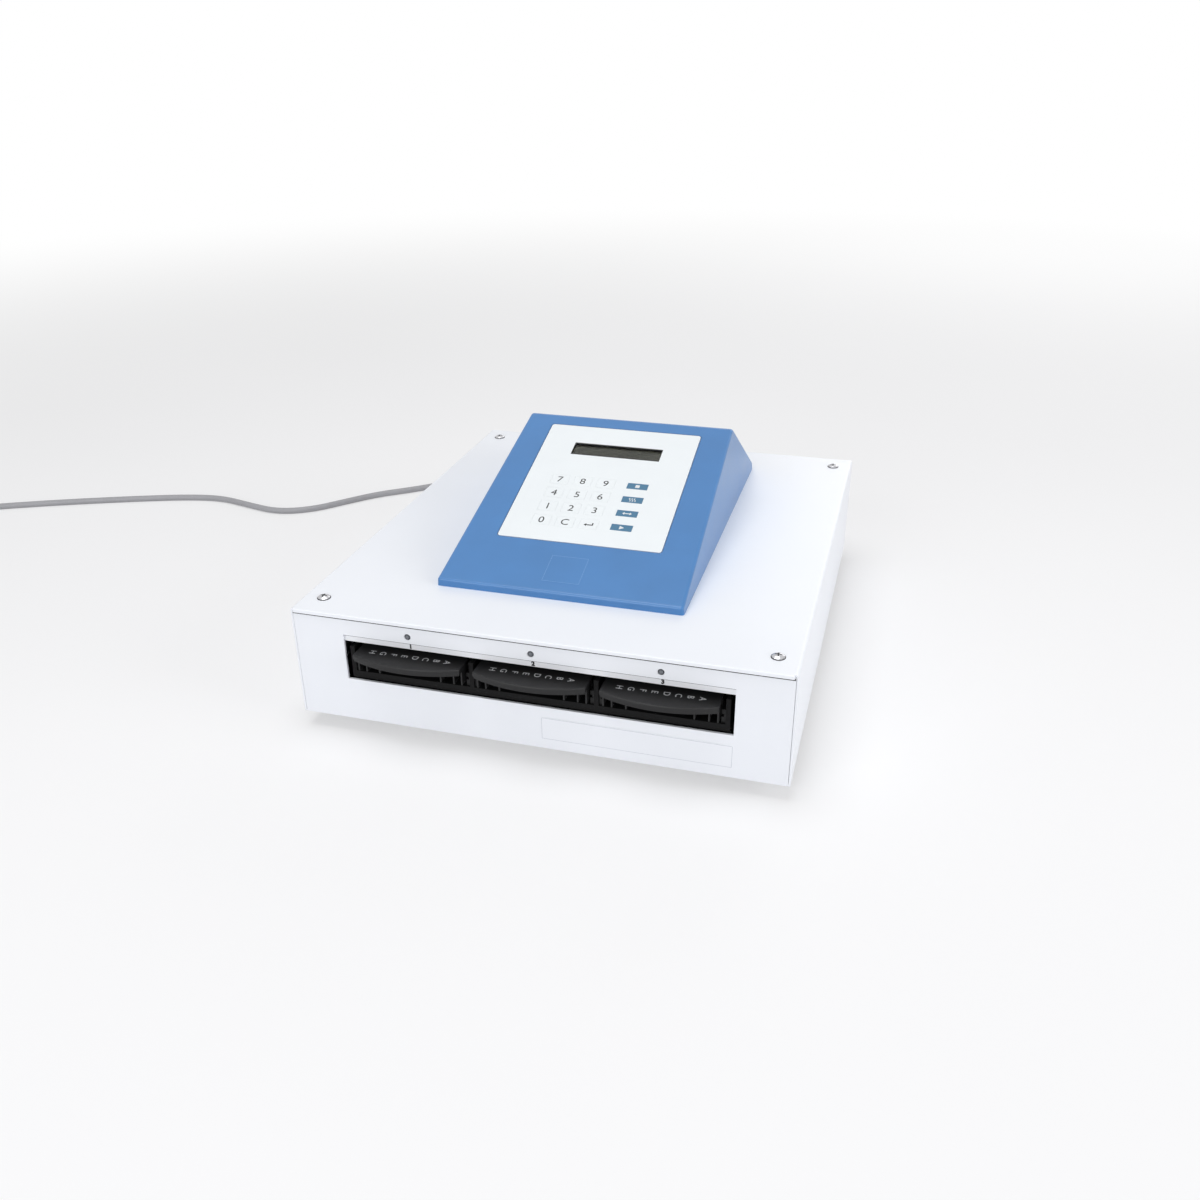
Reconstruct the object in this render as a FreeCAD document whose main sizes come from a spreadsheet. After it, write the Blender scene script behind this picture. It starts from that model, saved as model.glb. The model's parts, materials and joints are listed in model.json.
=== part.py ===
"""Three-drawer microplate incubator shaker, as a parametric document in millimetres.

X runs to the right, Y to the rear and Z up. The origin is on the floor under the middle of the
machine's own box, without its mains lead. Depths are counted back from the front panel's outer
face, and levels up from the underside of the case.
"""
import FreeCAD, Part
import math
import os
from types import SimpleNamespace

import Sketcher

V = FreeCAD.Vector

SIZES = {
    # Case of bent sheet
    "case_width": 400,
    "case_depth": 447,
    "case_height": 96,
    "cover_sheet": 1.5,
    "chassis_sheet": 1.5,
    "panel_sheet": 2,
    "sheet_gap": 0.3,
    "bend_radius": 3,
    "hem_height": 3.2,
    "hem_gap": 0.3,
    "hem_radius": 0.9,
    "flange_width": 12,
    "rear_reach": 5,
    "foot_height": 14,
    "foot_width": 24,
    "foot_taper": 2,
    "foot_inset": 45,
    # Pan-head screws and the posts that they hold on to
    "head_width": 10,
    "head_height": 2.6,
    "head_rim": 0.9,
    "shank_width": 4.9,
    "screw_length": 10,
    "thread_gap": 0.1,
    "recess_length": 5.6,
    "recess_width": 1.2,
    "recess_depth": 1.5,
    "screw_inset_side": 18,
    "screw_inset_end": 22,
    "post_width": 12,
    # Front window, number strip and lamps
    "window_width": 312,
    "window_below_middle": 10.5,
    "window_height": 40,
    "strip_drop": 6,
    "strip_overlap": 2.5,
    "strip_sheet": 1.2,
    "strip_hem": 5,
    "lamp_width": 5,
    "lamp_gap": 0.1,
    "lamp_length": 9,
    "lamp_flange": 0.5,
    "lamp_collar": 1,
    "lamp_proud": 1.3,
    # Shaker platform, its walls and its heated plates
    "station_pitch": 100.5,
    "platform_rise": 1.1,
    "platform_thickness": 6,
    "platform_setback": 2.5,
    "platform_depth": 200,
    "wall_thickness": 3.6,
    "wall_height": 22,
    "wall_depth": 155,
    "heater_thickness": 0.9,
    "heater_margin": 1,
    "base_thickness": 3,
    "base_gap": 1.2,
    "cover_thickness": 4,
    "cover_setback": 14,
    "cover_depth": 132,
    # Drawers for one standard microplate each
    "plate_length": 127.8,
    "plate_width": 85.5,
    "plate_gap": 0.4,
    "tray_wall": 1.7,
    "tray_wall_height": 10,
    "tray_clear": 2.9,
    "tray_back": 4,
    "tray_lift": 1.7,
    "ledge_width": 3,
    "ledge_thickness": 1.5,
    "front_depth": 13,
    "front_wall": 3,
    "lip_rise": 27.5,
    "lip_reach": 17.3,
    "lip_corner_reach": 8.2,
    "lip_thickness": 3.4,
    "lip_under": 2,
    "lip_step": 0.6,
    "lip_radius": 1,
    "rib_thickness": 1.2,
    "rib_reach": 2,
    "rib_clear": 0.5,
    "rib_inner": 26,
    "rib_outer": 37,
    "bead_reach": 1.8,
    "bead_height": 2,
    "bead_rise": 2.5,
    "bead_setback": 20,
    "slide_gap": 0.25,
    "rail_height": 11.4,
    "rail_setback": 2,
    # Orbital drive
    "throw": 1.5,
    "crank_setback": 105,
    "front_idler_setback": 42,
    "rear_idler_setback": 178,
    "rear_idler_spread": 120,
    "bearing_outer": 22,
    "bearing_bore": 8,
    "bearing_width": 7,
    "pin_bearing_outer": 16,
    "pin_bearing_width": 5,
    "press_gap": 0.02,
    "running_gap": 0.03,
    "tower_width": 30,
    "tower_flange": 46,
    "tower_flange_height": 3,
    "tower_relief": 12,
    "main_tower_height": 15,
    "idler_tower_height": 24,
    "crank_level": 25.5,
    "crank_height": 6,
    "crank_width": 30,
    "counterweight_width": 54,
    "counterweight_offset": 5,
    "pulley_level": 15.8,
    "pulley_height": 9,
    "pulley_width": 36,
    "pulley_rim": 1.5,
    "pulley_flange": 1,
    "belt_height": 6,
    "belt_thickness": 2,
    "belt_gap": 0.3,
    "motor_setback": 245,
    "motor_width": 42,
    "motor_height": 46,
    "motor_pulley_width": 18,
    "motor_shaft_width": 5,
    "motor_shaft_entry": 10,
    "bracket_width": 64,
    "bracket_level": 30,
    "bracket_sheet": 3,
    "bracket_bore": 12,
    # Circuit boards and power supply inside the case
    "board_sheet": 1.6,
    "board_width": 130,
    "board_depth": 120,
    "board_inset": 90,
    "board_setback": 350,
    "standoff_width": 7,
    "standoff_height": 8,
    "standoff_inset": 6,
    "relay_width": 28,
    "relay_depth": 16,
    "relay_height": 14,
    "chip_width": 22,
    "chip_height": 3,
    "terminal_width": 60,
    "terminal_depth": 9,
    "capacitor_width": 12,
    "capacitor_height": 20,
    "supply_width": 96,
    "supply_depth": 150,
    "supply_height": 42,
    "supply_inset": 75,
    "supply_setback": 320,
    "supply_slot": 3,
    "supply_slot_pitch": 9,
    # Mains inlet, switch and vents in the rear panel
    "inlet_x": -130,
    "inlet_level": 38,
    "inlet_width": 27,
    "inlet_height": 20,
    "inlet_depth": 24,
    "inlet_flange": 3.5,
    "inlet_flange_height": 3,
    "inlet_wall": 1.4,
    "inlet_recess": 17,
    "blade_width": 4,
    "blade_thickness": 2,
    "blade_length": 13,
    "blade_pitch": 7,
    "blade_drop": 3,
    "switch_x": -84,
    "switch_width": 13,
    "switch_height": 21,
    "switch_depth": 18,
    "switch_flange": 2.5,
    "switch_flange_height": 2,
    "switch_wall": 1.2,
    "rocker_gap": 0.5,
    "rocker_pivot": 0.5,
    "rocker_axle": 3,
    "rocker_taper": 0.9,
    "vent_x": 60,
    "vent_level": 30,
    "vent_width": 3,
    "vent_height": 36,
    "vent_pitch": 9,
    # Console on top
    "console_setback": 66,
    "console_width": 206,
    "console_ridge_width": 195,
    "console_lip": 6.5,
    "console_rise": 230.6,
    "console_height": 75.5,
    "console_tail": 103.4,
    "console_wall": 3,
    "ridge_radius": 7,
    "console_radius": 2.5,
    "boss_width": 11,
    "boss_inset_side": 20,
    "boss_inset_end": 20,
    "cable_hole_width": 22,
    # Keypad, display and their board, laid out up the console's slope
    "overlay_width": 143,
    "overlay_length": 165,
    "overlay_start": 60,
    "overlay_sheet": 1.1,
    "overlay_gap": 0.3,
    "overlay_corner": 3,
    "display_width": 82,
    "display_length": 15.5,
    "display_start": 182.2,
    "display_border": 2,
    "pane_sheet": 1,
    "pane_gap": 0.3,
    "display_depth": 2.4,
    "module_sheet": 3,
    "module_border": 8,
    "panel_board_drop": 9,
    "panel_board_width": 132,
    "key_first_x": -39.8,
    "key_pitch_x": 21,
    "function_x": 31,
    "key_first_row": 86.3,
    "key_pitch_row": 18.9,
    "key_width": 16,
    "key_length": 13,
    "function_width": 18.5,
    "function_length": 8,
    "key_sheet": 0.6,
    "key_gap": 0.1,
    "key_stem_width": 5,
    "key_stem_gap": 0.5,
    "key_stroke_room": 0.6,
    # Mains lead
    "connector_width": 26.4,
    "connector_height": 19,
    "connector_length": 30,
    "connector_gap": 0.4,
    "connector_stop": 0.3,
    "connector_radius": 3,
    "relief_width": 13,
    "relief_end_width": 8.6,
    "relief_length": 28,
    "cord_width": 7,
    "coil_core_radius": 31,
    "coil_spacing": 7.6,
    "coil_turns_below": 2.25,
    "coil_turns_above": 2,
    "coil_tail": 60,
    "plug_width": 36,
    "plug_length": 34,
    "plug_neck_width": 16,
    "plug_neck_length": 22,
    "plug_pin_width": 4.8,
    "plug_pin_length": 19,
    "plug_pin_pitch": 19,
}

# Where the lead runs, from behind the inlet to where its coil begins (x, y, z of its centre line)
LEAD_POINTS = [
    (-130, 318, 52),
    (-141, 350, 45),
    (-168, 374, 34),
    (-206, 381, 21),
    (-244, 366, 10),
    (-276, 338, 4.6),
    (-304, 308, 3.5),
    (-333, 283, 3.5),
    (-366, 259, 3.5),
    (-394, 227, 3.5),
    (-421, 195, 3.5),
    (-458, 178, 3.5),
    (-502, 188, 3.5),
    (-546, 199, 3.5),
    (-592, 190, 3.5),
    (-642, 172, 3.5),
    (-695, 151, 3.5),
    (-748, 128, 3.5),
    (-800, 103, 3.5),
    (-850, 77, 3.5),
]

KEY_ROWS = [
    ("0", "clear", "enter", "start"),
    ("1", "2", "3", "shake"),
    ("4", "5", "6", "heat"),
    ("7", "8", "9", "stop"),
]


class Formula:
    """A size kept as an expression on the sheet, with its present value beside it."""

    def __init__(self, text, value):
        self.text = text
        self.value = value

    def __add__(self, other):
        other = formula(other)
        return Formula("(%s + %s)" % (self.text, other.text), self.value + other.value)

    def __sub__(self, other):
        other = formula(other)
        return Formula("(%s - %s)" % (self.text, other.text), self.value - other.value)

    def __mul__(self, other):
        other = formula(other)
        return Formula("(%s * %s)" % (self.text, other.text), self.value * other.value)

    def __truediv__(self, other):
        other = formula(other)
        return Formula("(%s / %s)" % (self.text, other.text), self.value / other.value)

    def __radd__(self, other):
        return formula(other) + self

    def __rsub__(self, other):
        return formula(other) - self

    def __rmul__(self, other):
        return formula(other) * self

    def __neg__(self):
        return Formula("(-%s)" % self.text, -self.value)


def formula(quantity):
    """Takes a plain number or a Formula."""
    if isinstance(quantity, Formula):
        return quantity
    return Formula("%.6g" % quantity, float(quantity))


def arctangent(ratio):
    return Formula("atan(%s)" % ratio.text, math.degrees(math.atan(ratio.value)))


def arcsine(ratio):
    return Formula("asin(%s)" % ratio.text, math.degrees(math.asin(ratio.value)))


def sine(angle):
    return Formula("sin(%s)" % angle.text, math.sin(math.radians(angle.value)))


def cosine(angle):
    return Formula("cos(%s)" % angle.text, math.cos(math.radians(angle.value)))


doc = FreeCAD.newDocument("incubator_shaker")
sheet = doc.addObject("Spreadsheet::Sheet", "dims")
for row, (alias, value) in enumerate(SIZES.items(), 1):
    sheet.set("A%d" % row, alias)
    sheet.set("B%d" % row, str(value))
    sheet.setAlias("B%d" % row, alias)
doc.recompute()
d = SimpleNamespace(**{alias: Formula("dims." + alias, value) for alias, value in SIZES.items()})

FRONT = (d.lip_reach - d.rear_reach - d.case_depth) / 2
REAR = FRONT + d.case_depth
FLOOR = d.foot_height + d.chassis_sheet
TOP = d.foot_height + d.case_height


def depth(setback):
    """The Y of a depth behind the front panel's outer face."""
    return FRONT + setback


def level(height):
    """The Z of a level above the underside of the case."""
    return d.foot_height + height


def bind(item, path, quantity):
    item.setExpression(path, formula(quantity).text)


def place(item, corner, axis=None, angle=None):
    """Puts an object at a point, turned about an axis by a fixed or worked-out angle."""
    if axis is not None:
        turned = formula(angle)
        item.Placement = FreeCAD.Placement(V(0, 0, 0), FreeCAD.Rotation(axis, turned.value))
        if isinstance(angle, Formula):
            bind(item, "Placement.Rotation.Angle", turned)
    for name, quantity in zip("xyz", corner):
        bind(item, "Placement.Base." + name, quantity)
    return item


def box(corner, span, axis=None, angle=None):
    """A block from its lowest corner and its spans along X, Y and Z."""
    item = doc.addObject("Part::Box", "Block")
    for name, quantity in zip(("Length", "Width", "Height"), span):
        bind(item, name, quantity)
    return place(item, corner, axis, angle)


def centred_box(x, y, z, width, length, height):
    """A block centred on x and y that stands on z."""
    return box((x - formula(width) / 2, y - formula(length) / 2, z), (width, length, height))


AIMS = {"Z": (V(1, 0, 0), 0), "Y": (V(1, 0, 0), -90), "X": (V(0, 1, 0), 90)}


def rod(width, length, start, aim="Z"):
    """A cylinder by its diameter, from a start point along an axis."""
    item = doc.addObject("Part::Cylinder", "Rod")
    bind(item, "Radius", formula(width) / 2)
    bind(item, "Height", length)
    return place(item, start, *AIMS[aim])


def taper(width, end_width, length, start, aim="Z"):
    """A cone by its two diameters, from a start point along an axis."""
    item = doc.addObject("Part::Cone", "Taper")
    bind(item, "Radius1", formula(width) / 2)
    bind(item, "Radius2", formula(end_width) / 2)
    bind(item, "Height", length)
    return place(item, start, *AIMS[aim])


def join(*pieces):
    item = doc.addObject("Part::MultiFuse", "Joined")
    item.Shapes = list(pieces)
    item.Refine = True
    return item


def cut(base, *tools):
    item = doc.addObject("Part::Cut", "Cut")
    item.Base = base
    item.Tool = tools[0] if len(tools) == 1 else join(*tools)
    return item


def shared(base, tool):
    item = doc.addObject("Part::Common", "Shared")
    item.Base = base
    item.Tool = tool
    return item


def group(*pieces):
    """Separate solids that make one sub-part, such as a set of like fasteners."""
    item = doc.addObject("Part::Compound", "Group")
    item.Links = list(pieces)
    return item


class Arc:
    """An arc in an outline: its radius, and the side of the way ahead that it swells to."""

    def __init__(self, radius, side):
        self.radius = formula(radius)
        self.side = side

    def middle(self, start, end):
        chord = end - start
        half = chord.Length / 2
        rise = self.radius.value - math.sqrt(max(self.radius.value ** 2 - half ** 2, 0))
        across = V(-chord.y, chord.x, 0).normalize()
        return (start + end) * 0.5 + across * (rise * self.side)


def rounded_rectangle(left, low, right, high, radius):
    bend = Arc(radius, -1)
    return [
        (left + radius, low), (right - radius, low), bend,
        (right, low + radius), (right, high - radius), bend,
        (right - radius, high), (left + radius, high), bend,
        (left, high - radius), (left, low + radius), bend,
    ]


class Body:
    """A PartDesign body, built up from sketches on its own origin planes."""

    def __init__(self):
        self.item = doc.addObject("PartDesign::Body", "Body")

    def plane(self, role):
        return [part for part in self.item.Origin.OriginFeatures if part.Role == role][0]

    def sketch(self, role, outlines, offset=0):
        """Draws closed outlines of points and arcs, every point held by its formulas."""
        drawing = self.item.newObject("Sketcher::SketchObject", "Sketch")
        drawing.AttachmentSupport = [(self.plane(role), "")]
        drawing.MapMode = "FlatFace"
        bind(drawing, "AttachmentOffset.Base.z", offset)
        for outline in outlines:
            draw_outline(drawing, outline)
        return drawing

    def feature(self, kind, profile, length, backward=False, both_ways=False):
        item = self.item.newObject(kind, kind.split("::")[1])
        item.Profile = profile
        bind(item, "Length", length)
        item.Reversed = backward
        if both_ways:
            item.SideType = "Symmetric"
        return item

    def along_x(self, outlines, width):
        """Pads a side view of (y, z) points to both sides of the middle plane."""
        return self.feature("PartDesign::Pad", self.sketch("YZ_Plane", outlines), width, both_ways=True)

    def along_y(self, outlines, start, length):
        """Pads a front view of (x, z) points from a start to the rear."""
        profile = self.sketch("XZ_Plane", outlines, -formula(start))
        return self.feature("PartDesign::Pad", profile, length, backward=True)

    def along_z(self, outlines, start, height):
        """Pads a plan of (x, y) points upward from a start."""
        return self.feature("PartDesign::Pad", self.sketch("XY_Plane", outlines, start), height)

    def turned(self, outline):
        """Turns a half section of (radius, z) points about the body's upright axis."""
        item = self.item.newObject("PartDesign::Revolution", "Revolution")
        item.Profile = self.sketch("XZ_Plane", [outline])
        item.ReferenceAxis = (self.plane("Z_Axis"), [""])
        item.Angle = 360
        return item

    def fillet(self, radius, wanted):
        """Rounds the edges whose middle point the test picks."""
        doc.recompute()
        base = self.item.Tip
        names = []
        for number, edge in enumerate(base.Shape.Edges, 1):
            middle = edge.valueAt((edge.FirstParameter + edge.LastParameter) / 2)
            if wanted(edge, middle):
                names.append("Edge%d" % number)
        item = self.item.newObject("PartDesign::Fillet", "Fillet")
        item.Base = (base, names)
        bind(item, "Radius", radius)
        return item

    def pocket_along_y(self, outlines, length):
        """Cuts a front view of (x, z) points away to both sides of the body's own front plane."""
        profile = self.sketch("XZ_Plane", outlines)
        return self.feature("PartDesign::Pocket", profile, length, both_ways=True)


def draw_outline(drawing, outline):
    """Adds one closed outline to a sketch."""
    corners = [entry for entry in outline if not isinstance(entry, Arc)]
    spots = [V(formula(x).value, formula(y).value, 0) for x, y in corners]
    bends = {}
    count = 0
    for entry in outline:
        if isinstance(entry, Arc):
            bends[count - 1] = entry
        else:
            count += 1
    edges = []
    for number, start in enumerate(spots):
        end = spots[(number + 1) % count]
        if number in bends:
            curve = Part.ArcOfCircle(start, bends[number].middle(start, end), end)
        else:
            curve = Part.LineSegment(start, end)
        edge = drawing.addGeometry(curve, False)
        first = 1 if drawing.getPoint(edge, 1).isEqual(start, 1e-6) else 2
        edges.append((edge, first, 3 - first))
    for number, (edge, first, last) in enumerate(edges):
        following, following_first, _ = edges[(number + 1) % count]
        drawing.addConstraint(Sketcher.Constraint("Coincident", edge, last, following, following_first))
    for number, (edge, first, last) in enumerate(edges):
        for kind, quantity, spot in zip(("DistanceX", "DistanceY"), corners[number], spots[number]):
            held = drawing.addConstraint(Sketcher.Constraint(kind, -1, 1, edge, first, spot))
            bind(drawing, "Constraints[%d]" % held, quantity)
        if number in bends:
            radius = bends[number].radius
            held = drawing.addConstraint(Sketcher.Constraint("Radius", edge, radius.value))
            bind(drawing, "Constraints[%d]" % held, radius)


sub_parts = []


def sub_part(label, item):
    """Names a finished piece. Its label is also the name of its file."""
    item = item.item if isinstance(item, Body) else item
    item.Label = label
    sub_parts.append(item)
    return item


def mirrored(distance):
    return (-formula(distance), formula(distance))


# Case

inner_half = d.case_width / 2 - d.cover_sheet - d.sheet_gap
inner_bend = d.bend_radius - d.cover_sheet
chassis_depth = d.case_depth - 2 * d.panel_sheet

chassis = Body()
chassis.along_y(
    [[
        (-inner_half, d.foot_height), (inner_half, d.foot_height),
        (inner_half, d.foot_height + d.flange_width),
        (inner_half - d.chassis_sheet, d.foot_height + d.flange_width),
        (inner_half - d.chassis_sheet, FLOOR), (d.chassis_sheet - inner_half, FLOOR),
        (d.chassis_sheet - inner_half, d.foot_height + d.flange_width),
        (-inner_half, d.foot_height + d.flange_width),
    ]],
    depth(d.panel_sheet), chassis_depth,
)
sub_part("chassis", chassis)

panel_top = TOP - d.cover_sheet - d.sheet_gap
panel_corner = inner_bend - d.sheet_gap
panel_flange_half = inner_half - d.chassis_sheet - d.sheet_gap
station_centres = [-d.station_pitch, formula(0), d.station_pitch]


def end_panel(face, flange_start):
    """A panel of the case with the bent flange that stands on the chassis."""
    upright = Body()
    upright.along_y(
        [[
            (-inner_half, d.foot_height), (inner_half, d.foot_height),
            (inner_half, panel_top - panel_corner), Arc(panel_corner, -1),
            (inner_half - panel_corner, panel_top), (panel_corner - inner_half, panel_top),
            Arc(panel_corner, -1), (-inner_half, panel_top - panel_corner),
        ]],
        face, d.panel_sheet,
    )
    flange = box(
        (-panel_flange_half, flange_start, FLOOR),
        (2 * panel_flange_half, d.flange_width, d.panel_sheet),
    )
    return join(upright.item, flange)


window_low = level(d.case_height / 2 - d.window_below_middle)
window_top = window_low + d.window_height
window = box(
    (-d.window_width / 2, FRONT - d.panel_sheet, window_low),
    (d.window_width, 3 * d.panel_sheet, d.window_height),
)
strip_low = window_top - d.strip_drop
strip_high = window_top + d.strip_overlap
lamp_z = strip_high + d.sheet_gap + d.lamp_flange + d.lamp_width / 2
lamp_holes = [
    rod(d.lamp_width + 2 * d.lamp_gap, 3 * d.panel_sheet, (x, FRONT - d.panel_sheet, lamp_z), "Y")
    for x in station_centres
]
sub_part("front_panel", cut(end_panel(FRONT, depth(d.panel_sheet)), window, *lamp_holes))

inlet_hole = box(
    (d.inlet_x - d.inlet_width / 2 - d.sheet_gap, REAR - 2 * d.panel_sheet,
     level(d.inlet_level) - d.inlet_height / 2 - d.sheet_gap),
    (d.inlet_width + 2 * d.sheet_gap, 3 * d.panel_sheet, d.inlet_height + 2 * d.sheet_gap),
)
switch_hole = box(
    (d.switch_x - d.switch_width / 2 - d.sheet_gap, REAR - 2 * d.panel_sheet,
     level(d.inlet_level) - d.switch_height / 2 - d.sheet_gap),
    (d.switch_width + 2 * d.sheet_gap, 3 * d.panel_sheet, d.switch_height + 2 * d.sheet_gap),
)
vents = [
    box((d.vent_x + number * d.vent_pitch, REAR - 2 * d.panel_sheet, level(d.vent_level)),
        (d.vent_width, 3 * d.panel_sheet, d.vent_height))
    for number in range(10)
]
rear_plate = end_panel(REAR - d.panel_sheet, REAR - d.panel_sheet - d.flange_width)
sub_part("rear_panel", cut(rear_plate, inlet_hole, switch_hole, *vents))

outer_half = d.case_width / 2
skin_half = outer_half - d.cover_sheet
hem_front = FRONT - d.hem_gap - d.cover_sheet
cover = Body()
cover.along_y(
    [[
        (-outer_half, d.foot_height), (-skin_half, d.foot_height),
        (-skin_half, TOP - d.bend_radius), Arc(inner_bend, 1),
        (inner_bend - skin_half, TOP - d.cover_sheet), (skin_half - inner_bend, TOP - d.cover_sheet),
        Arc(inner_bend, 1), (skin_half, TOP - d.bend_radius),
        (skin_half, d.foot_height), (outer_half, d.foot_height),
        (outer_half, TOP - d.bend_radius), Arc(d.bend_radius, -1), (outer_half - d.bend_radius, TOP),
        (d.bend_radius - outer_half, TOP), Arc(d.bend_radius, -1), (-outer_half, TOP - d.bend_radius),
    ]],
    FRONT, d.case_depth,
)
cover.along_x(
    [[
        (FRONT, TOP), (hem_front, TOP), (hem_front, TOP - d.hem_height),
        (FRONT - d.hem_gap, TOP - d.hem_height), (FRONT - d.hem_gap, TOP - d.cover_sheet),
        (FRONT, TOP - d.cover_sheet),
    ]],
    d.case_width - 2 * d.bend_radius,
)
cover.fillet(
    d.hem_radius,
    lambda edge, middle: abs(middle.y - hem_front.value) < 1e-4 and abs(middle.z - TOP.value) < 1e-4,
)

screw_spots = [
    (x, y)
    for y in (depth(d.screw_inset_end), REAR - d.screw_inset_end)
    for x in mirrored(outer_half - d.screw_inset_side)
]
console_front = depth(d.console_setback)
console_back = console_front + d.console_rise + d.console_tail
boss_spots = [
    (x, y)
    for y in (console_front + d.boss_inset_end, console_back - d.boss_inset_end)
    for x in mirrored(d.console_width / 2 - d.boss_inset_side)
]
thread_width = d.shank_width + 2 * d.thread_gap


def cover_hole(width, x, y):
    return rod(width, 3 * d.cover_sheet, (x, y, TOP - 2 * d.cover_sheet))


cover_holes = [cover_hole(thread_width, x, y) for x, y in screw_spots + boss_spots]
cable_hole = cover_hole(d.cable_hole_width, 0, console_front + d.console_rise)
sub_part("top_cover", cut(cover.item, cable_hole, *cover_holes))


def pan_head_screw(x, y, z, upward=False):
    """A cross-recess screw whose head seats at z, with its shank below the head or, if turned, above."""
    radius = d.head_width / 2
    crown = d.head_height - d.head_rim
    crown_radius = (radius * radius + crown * crown) / (2 * crown)
    screw = Body()
    screw.turned([
        (0, -d.screw_length), (d.shank_width / 2, -d.screw_length), (d.shank_width / 2, 0), (radius, 0),
        (radius, d.head_rim), Arc(crown_radius, -1), (0, d.head_height),
    ])
    recess_low = d.head_height - d.recess_depth
    slots = [
        centred_box(0, 0, recess_low, d.recess_length, d.recess_width, d.head_height),
        centred_box(0, 0, recess_low, d.recess_width, d.recess_length, d.head_height),
    ]
    item = cut(screw.item, *slots)
    return place(item, (x, y, z), V(1, 0, 0), 180 if upward else 0)


cover_screws = [pan_head_screw(x, y, TOP) for x, y in screw_spots]
console_screws = [pan_head_screw(x, y, TOP - d.cover_sheet, upward=True) for x, y in boss_spots]
sub_part("pan_head_screws", group(*cover_screws, *console_screws))

post_top = TOP - d.cover_sheet
posts = [
    cut(rod(d.post_width, post_top - FLOOR, (x, y, FLOOR)),
        rod(thread_width, 2 * d.screw_length, (x, y, post_top - d.screw_length)))
    for x, y in screw_spots
]
sub_part("cover_posts", group(*posts))

feet = [
    taper(d.foot_width - 2 * d.foot_taper, d.foot_width, d.foot_height, (x, y, 0))
    for y in (depth(d.foot_inset), REAR - d.foot_inset)
    for x in mirrored(outer_half - d.foot_inset)
]
sub_part("rubber_feet", group(*feet))

strip_face = depth(d.panel_sheet)
strip = Body()
strip.along_x(
    [[
        (strip_face, strip_low), (strip_face + d.strip_hem, strip_low),
        (strip_face + d.strip_hem, strip_low + d.strip_sheet),
        (strip_face + d.strip_sheet, strip_low + d.strip_sheet),
        (strip_face + d.strip_sheet, strip_high), (strip_face, strip_high),
    ]],
    d.window_width + 4 * d.strip_overlap,
)
sub_part("number_strip", strip)

lamps = []
for x in station_centres:
    lamp_front = FRONT - d.lamp_proud + d.lamp_width / 2
    dome = doc.addObject("Part::Sphere", "Dome")
    bind(dome, "Radius", d.lamp_width / 2)
    place(dome, (x, lamp_front, lamp_z))
    barrel = rod(d.lamp_width, d.lamp_length, (x, lamp_front, lamp_z), "Y")
    collar_width = d.lamp_width + 2 * d.lamp_flange
    collar = rod(collar_width, d.lamp_collar, (x, depth(d.panel_sheet), lamp_z), "Y")
    lamps.append(join(dome, barrel, collar))
sub_part("status_lamps", group(*lamps))

# Shaker platform with its stations

platform_front = depth(d.platform_setback)
platform_low = window_low + d.platform_rise
platform_top = platform_low + d.platform_thickness
platform_width = 3 * d.station_pitch + d.wall_thickness
pins = [
    (formula(0), depth(d.crank_setback)),
    (formula(0), depth(d.front_idler_setback)),
    (-d.rear_idler_spread, depth(d.rear_idler_setback)),
    (d.rear_idler_spread, depth(d.rear_idler_setback)),
]
slab = box(
    (-platform_width / 2, platform_front, platform_low),
    (platform_width, d.platform_depth, d.platform_thickness),
)
seat_width = d.pin_bearing_outer + 2 * d.press_gap
seats = [
    rod(seat_width, 2 * d.pin_bearing_width, (x, y, platform_low - d.pin_bearing_width)) for x, y in pins
]
sub_part("shaker_platform", cut(slab, *seats))

pin_width = d.bearing_bore - 2 * d.running_gap


def bearing(outer, width, x, y, z):
    return cut(rod(outer, width, (x, y, z)), rod(d.bearing_bore, 3 * width, (x, y, z - width)))


sub_part(
    "platform_bearings",
    group(*[bearing(d.pin_bearing_outer, d.pin_bearing_width, x, y, platform_low) for x, y in pins]),
)

wall_top = platform_top + d.wall_height
walls = [
    box((d.station_pitch * step - d.wall_thickness / 2, platform_front, platform_top),
        (d.wall_thickness, d.wall_depth, d.wall_height))
    for step in (-1.5, -0.5, 0.5, 1.5)
]
sub_part("divider_walls", group(*walls))

tray_low = platform_top + d.tray_clear
drawer_half = d.plate_width / 2 + d.plate_gap + d.tray_wall
pocket_half = d.plate_width / 2 + d.plate_gap
pocket_front = depth(d.front_depth)
pocket_length = d.plate_length + 2 * d.plate_gap
base_half = pocket_half - d.ledge_width - d.base_gap
base_front = pocket_front + d.ledge_width + d.base_gap
base_length = pocket_length - d.ledge_width - 2 * d.base_gap
base_low = platform_top + d.heater_thickness
cover_width = d.station_pitch - d.sheet_gap
cover_front = depth(d.cover_setback)
sub_part("heated_bases", group(*[
    box((x - base_half, base_front, base_low), (2 * base_half, base_length, d.base_thickness))
    for x in station_centres
]))
sub_part("heated_covers", group(*[
    box((x - cover_width / 2, cover_front, wall_top), (cover_width, d.cover_depth, d.cover_thickness))
    for x in station_centres
]))


def heater(x, front, z, length):
    half = base_half - d.heater_margin
    return box(
        (x - half, front + d.heater_margin, z),
        (2 * half, length - 2 * d.heater_margin, d.heater_thickness),
    )


sub_part("heater_mats", group(
    *[heater(x, base_front, platform_top, base_length) for x in station_centres],
    *[heater(x, cover_front, wall_top + d.cover_thickness, d.cover_depth) for x in station_centres],
))

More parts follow.
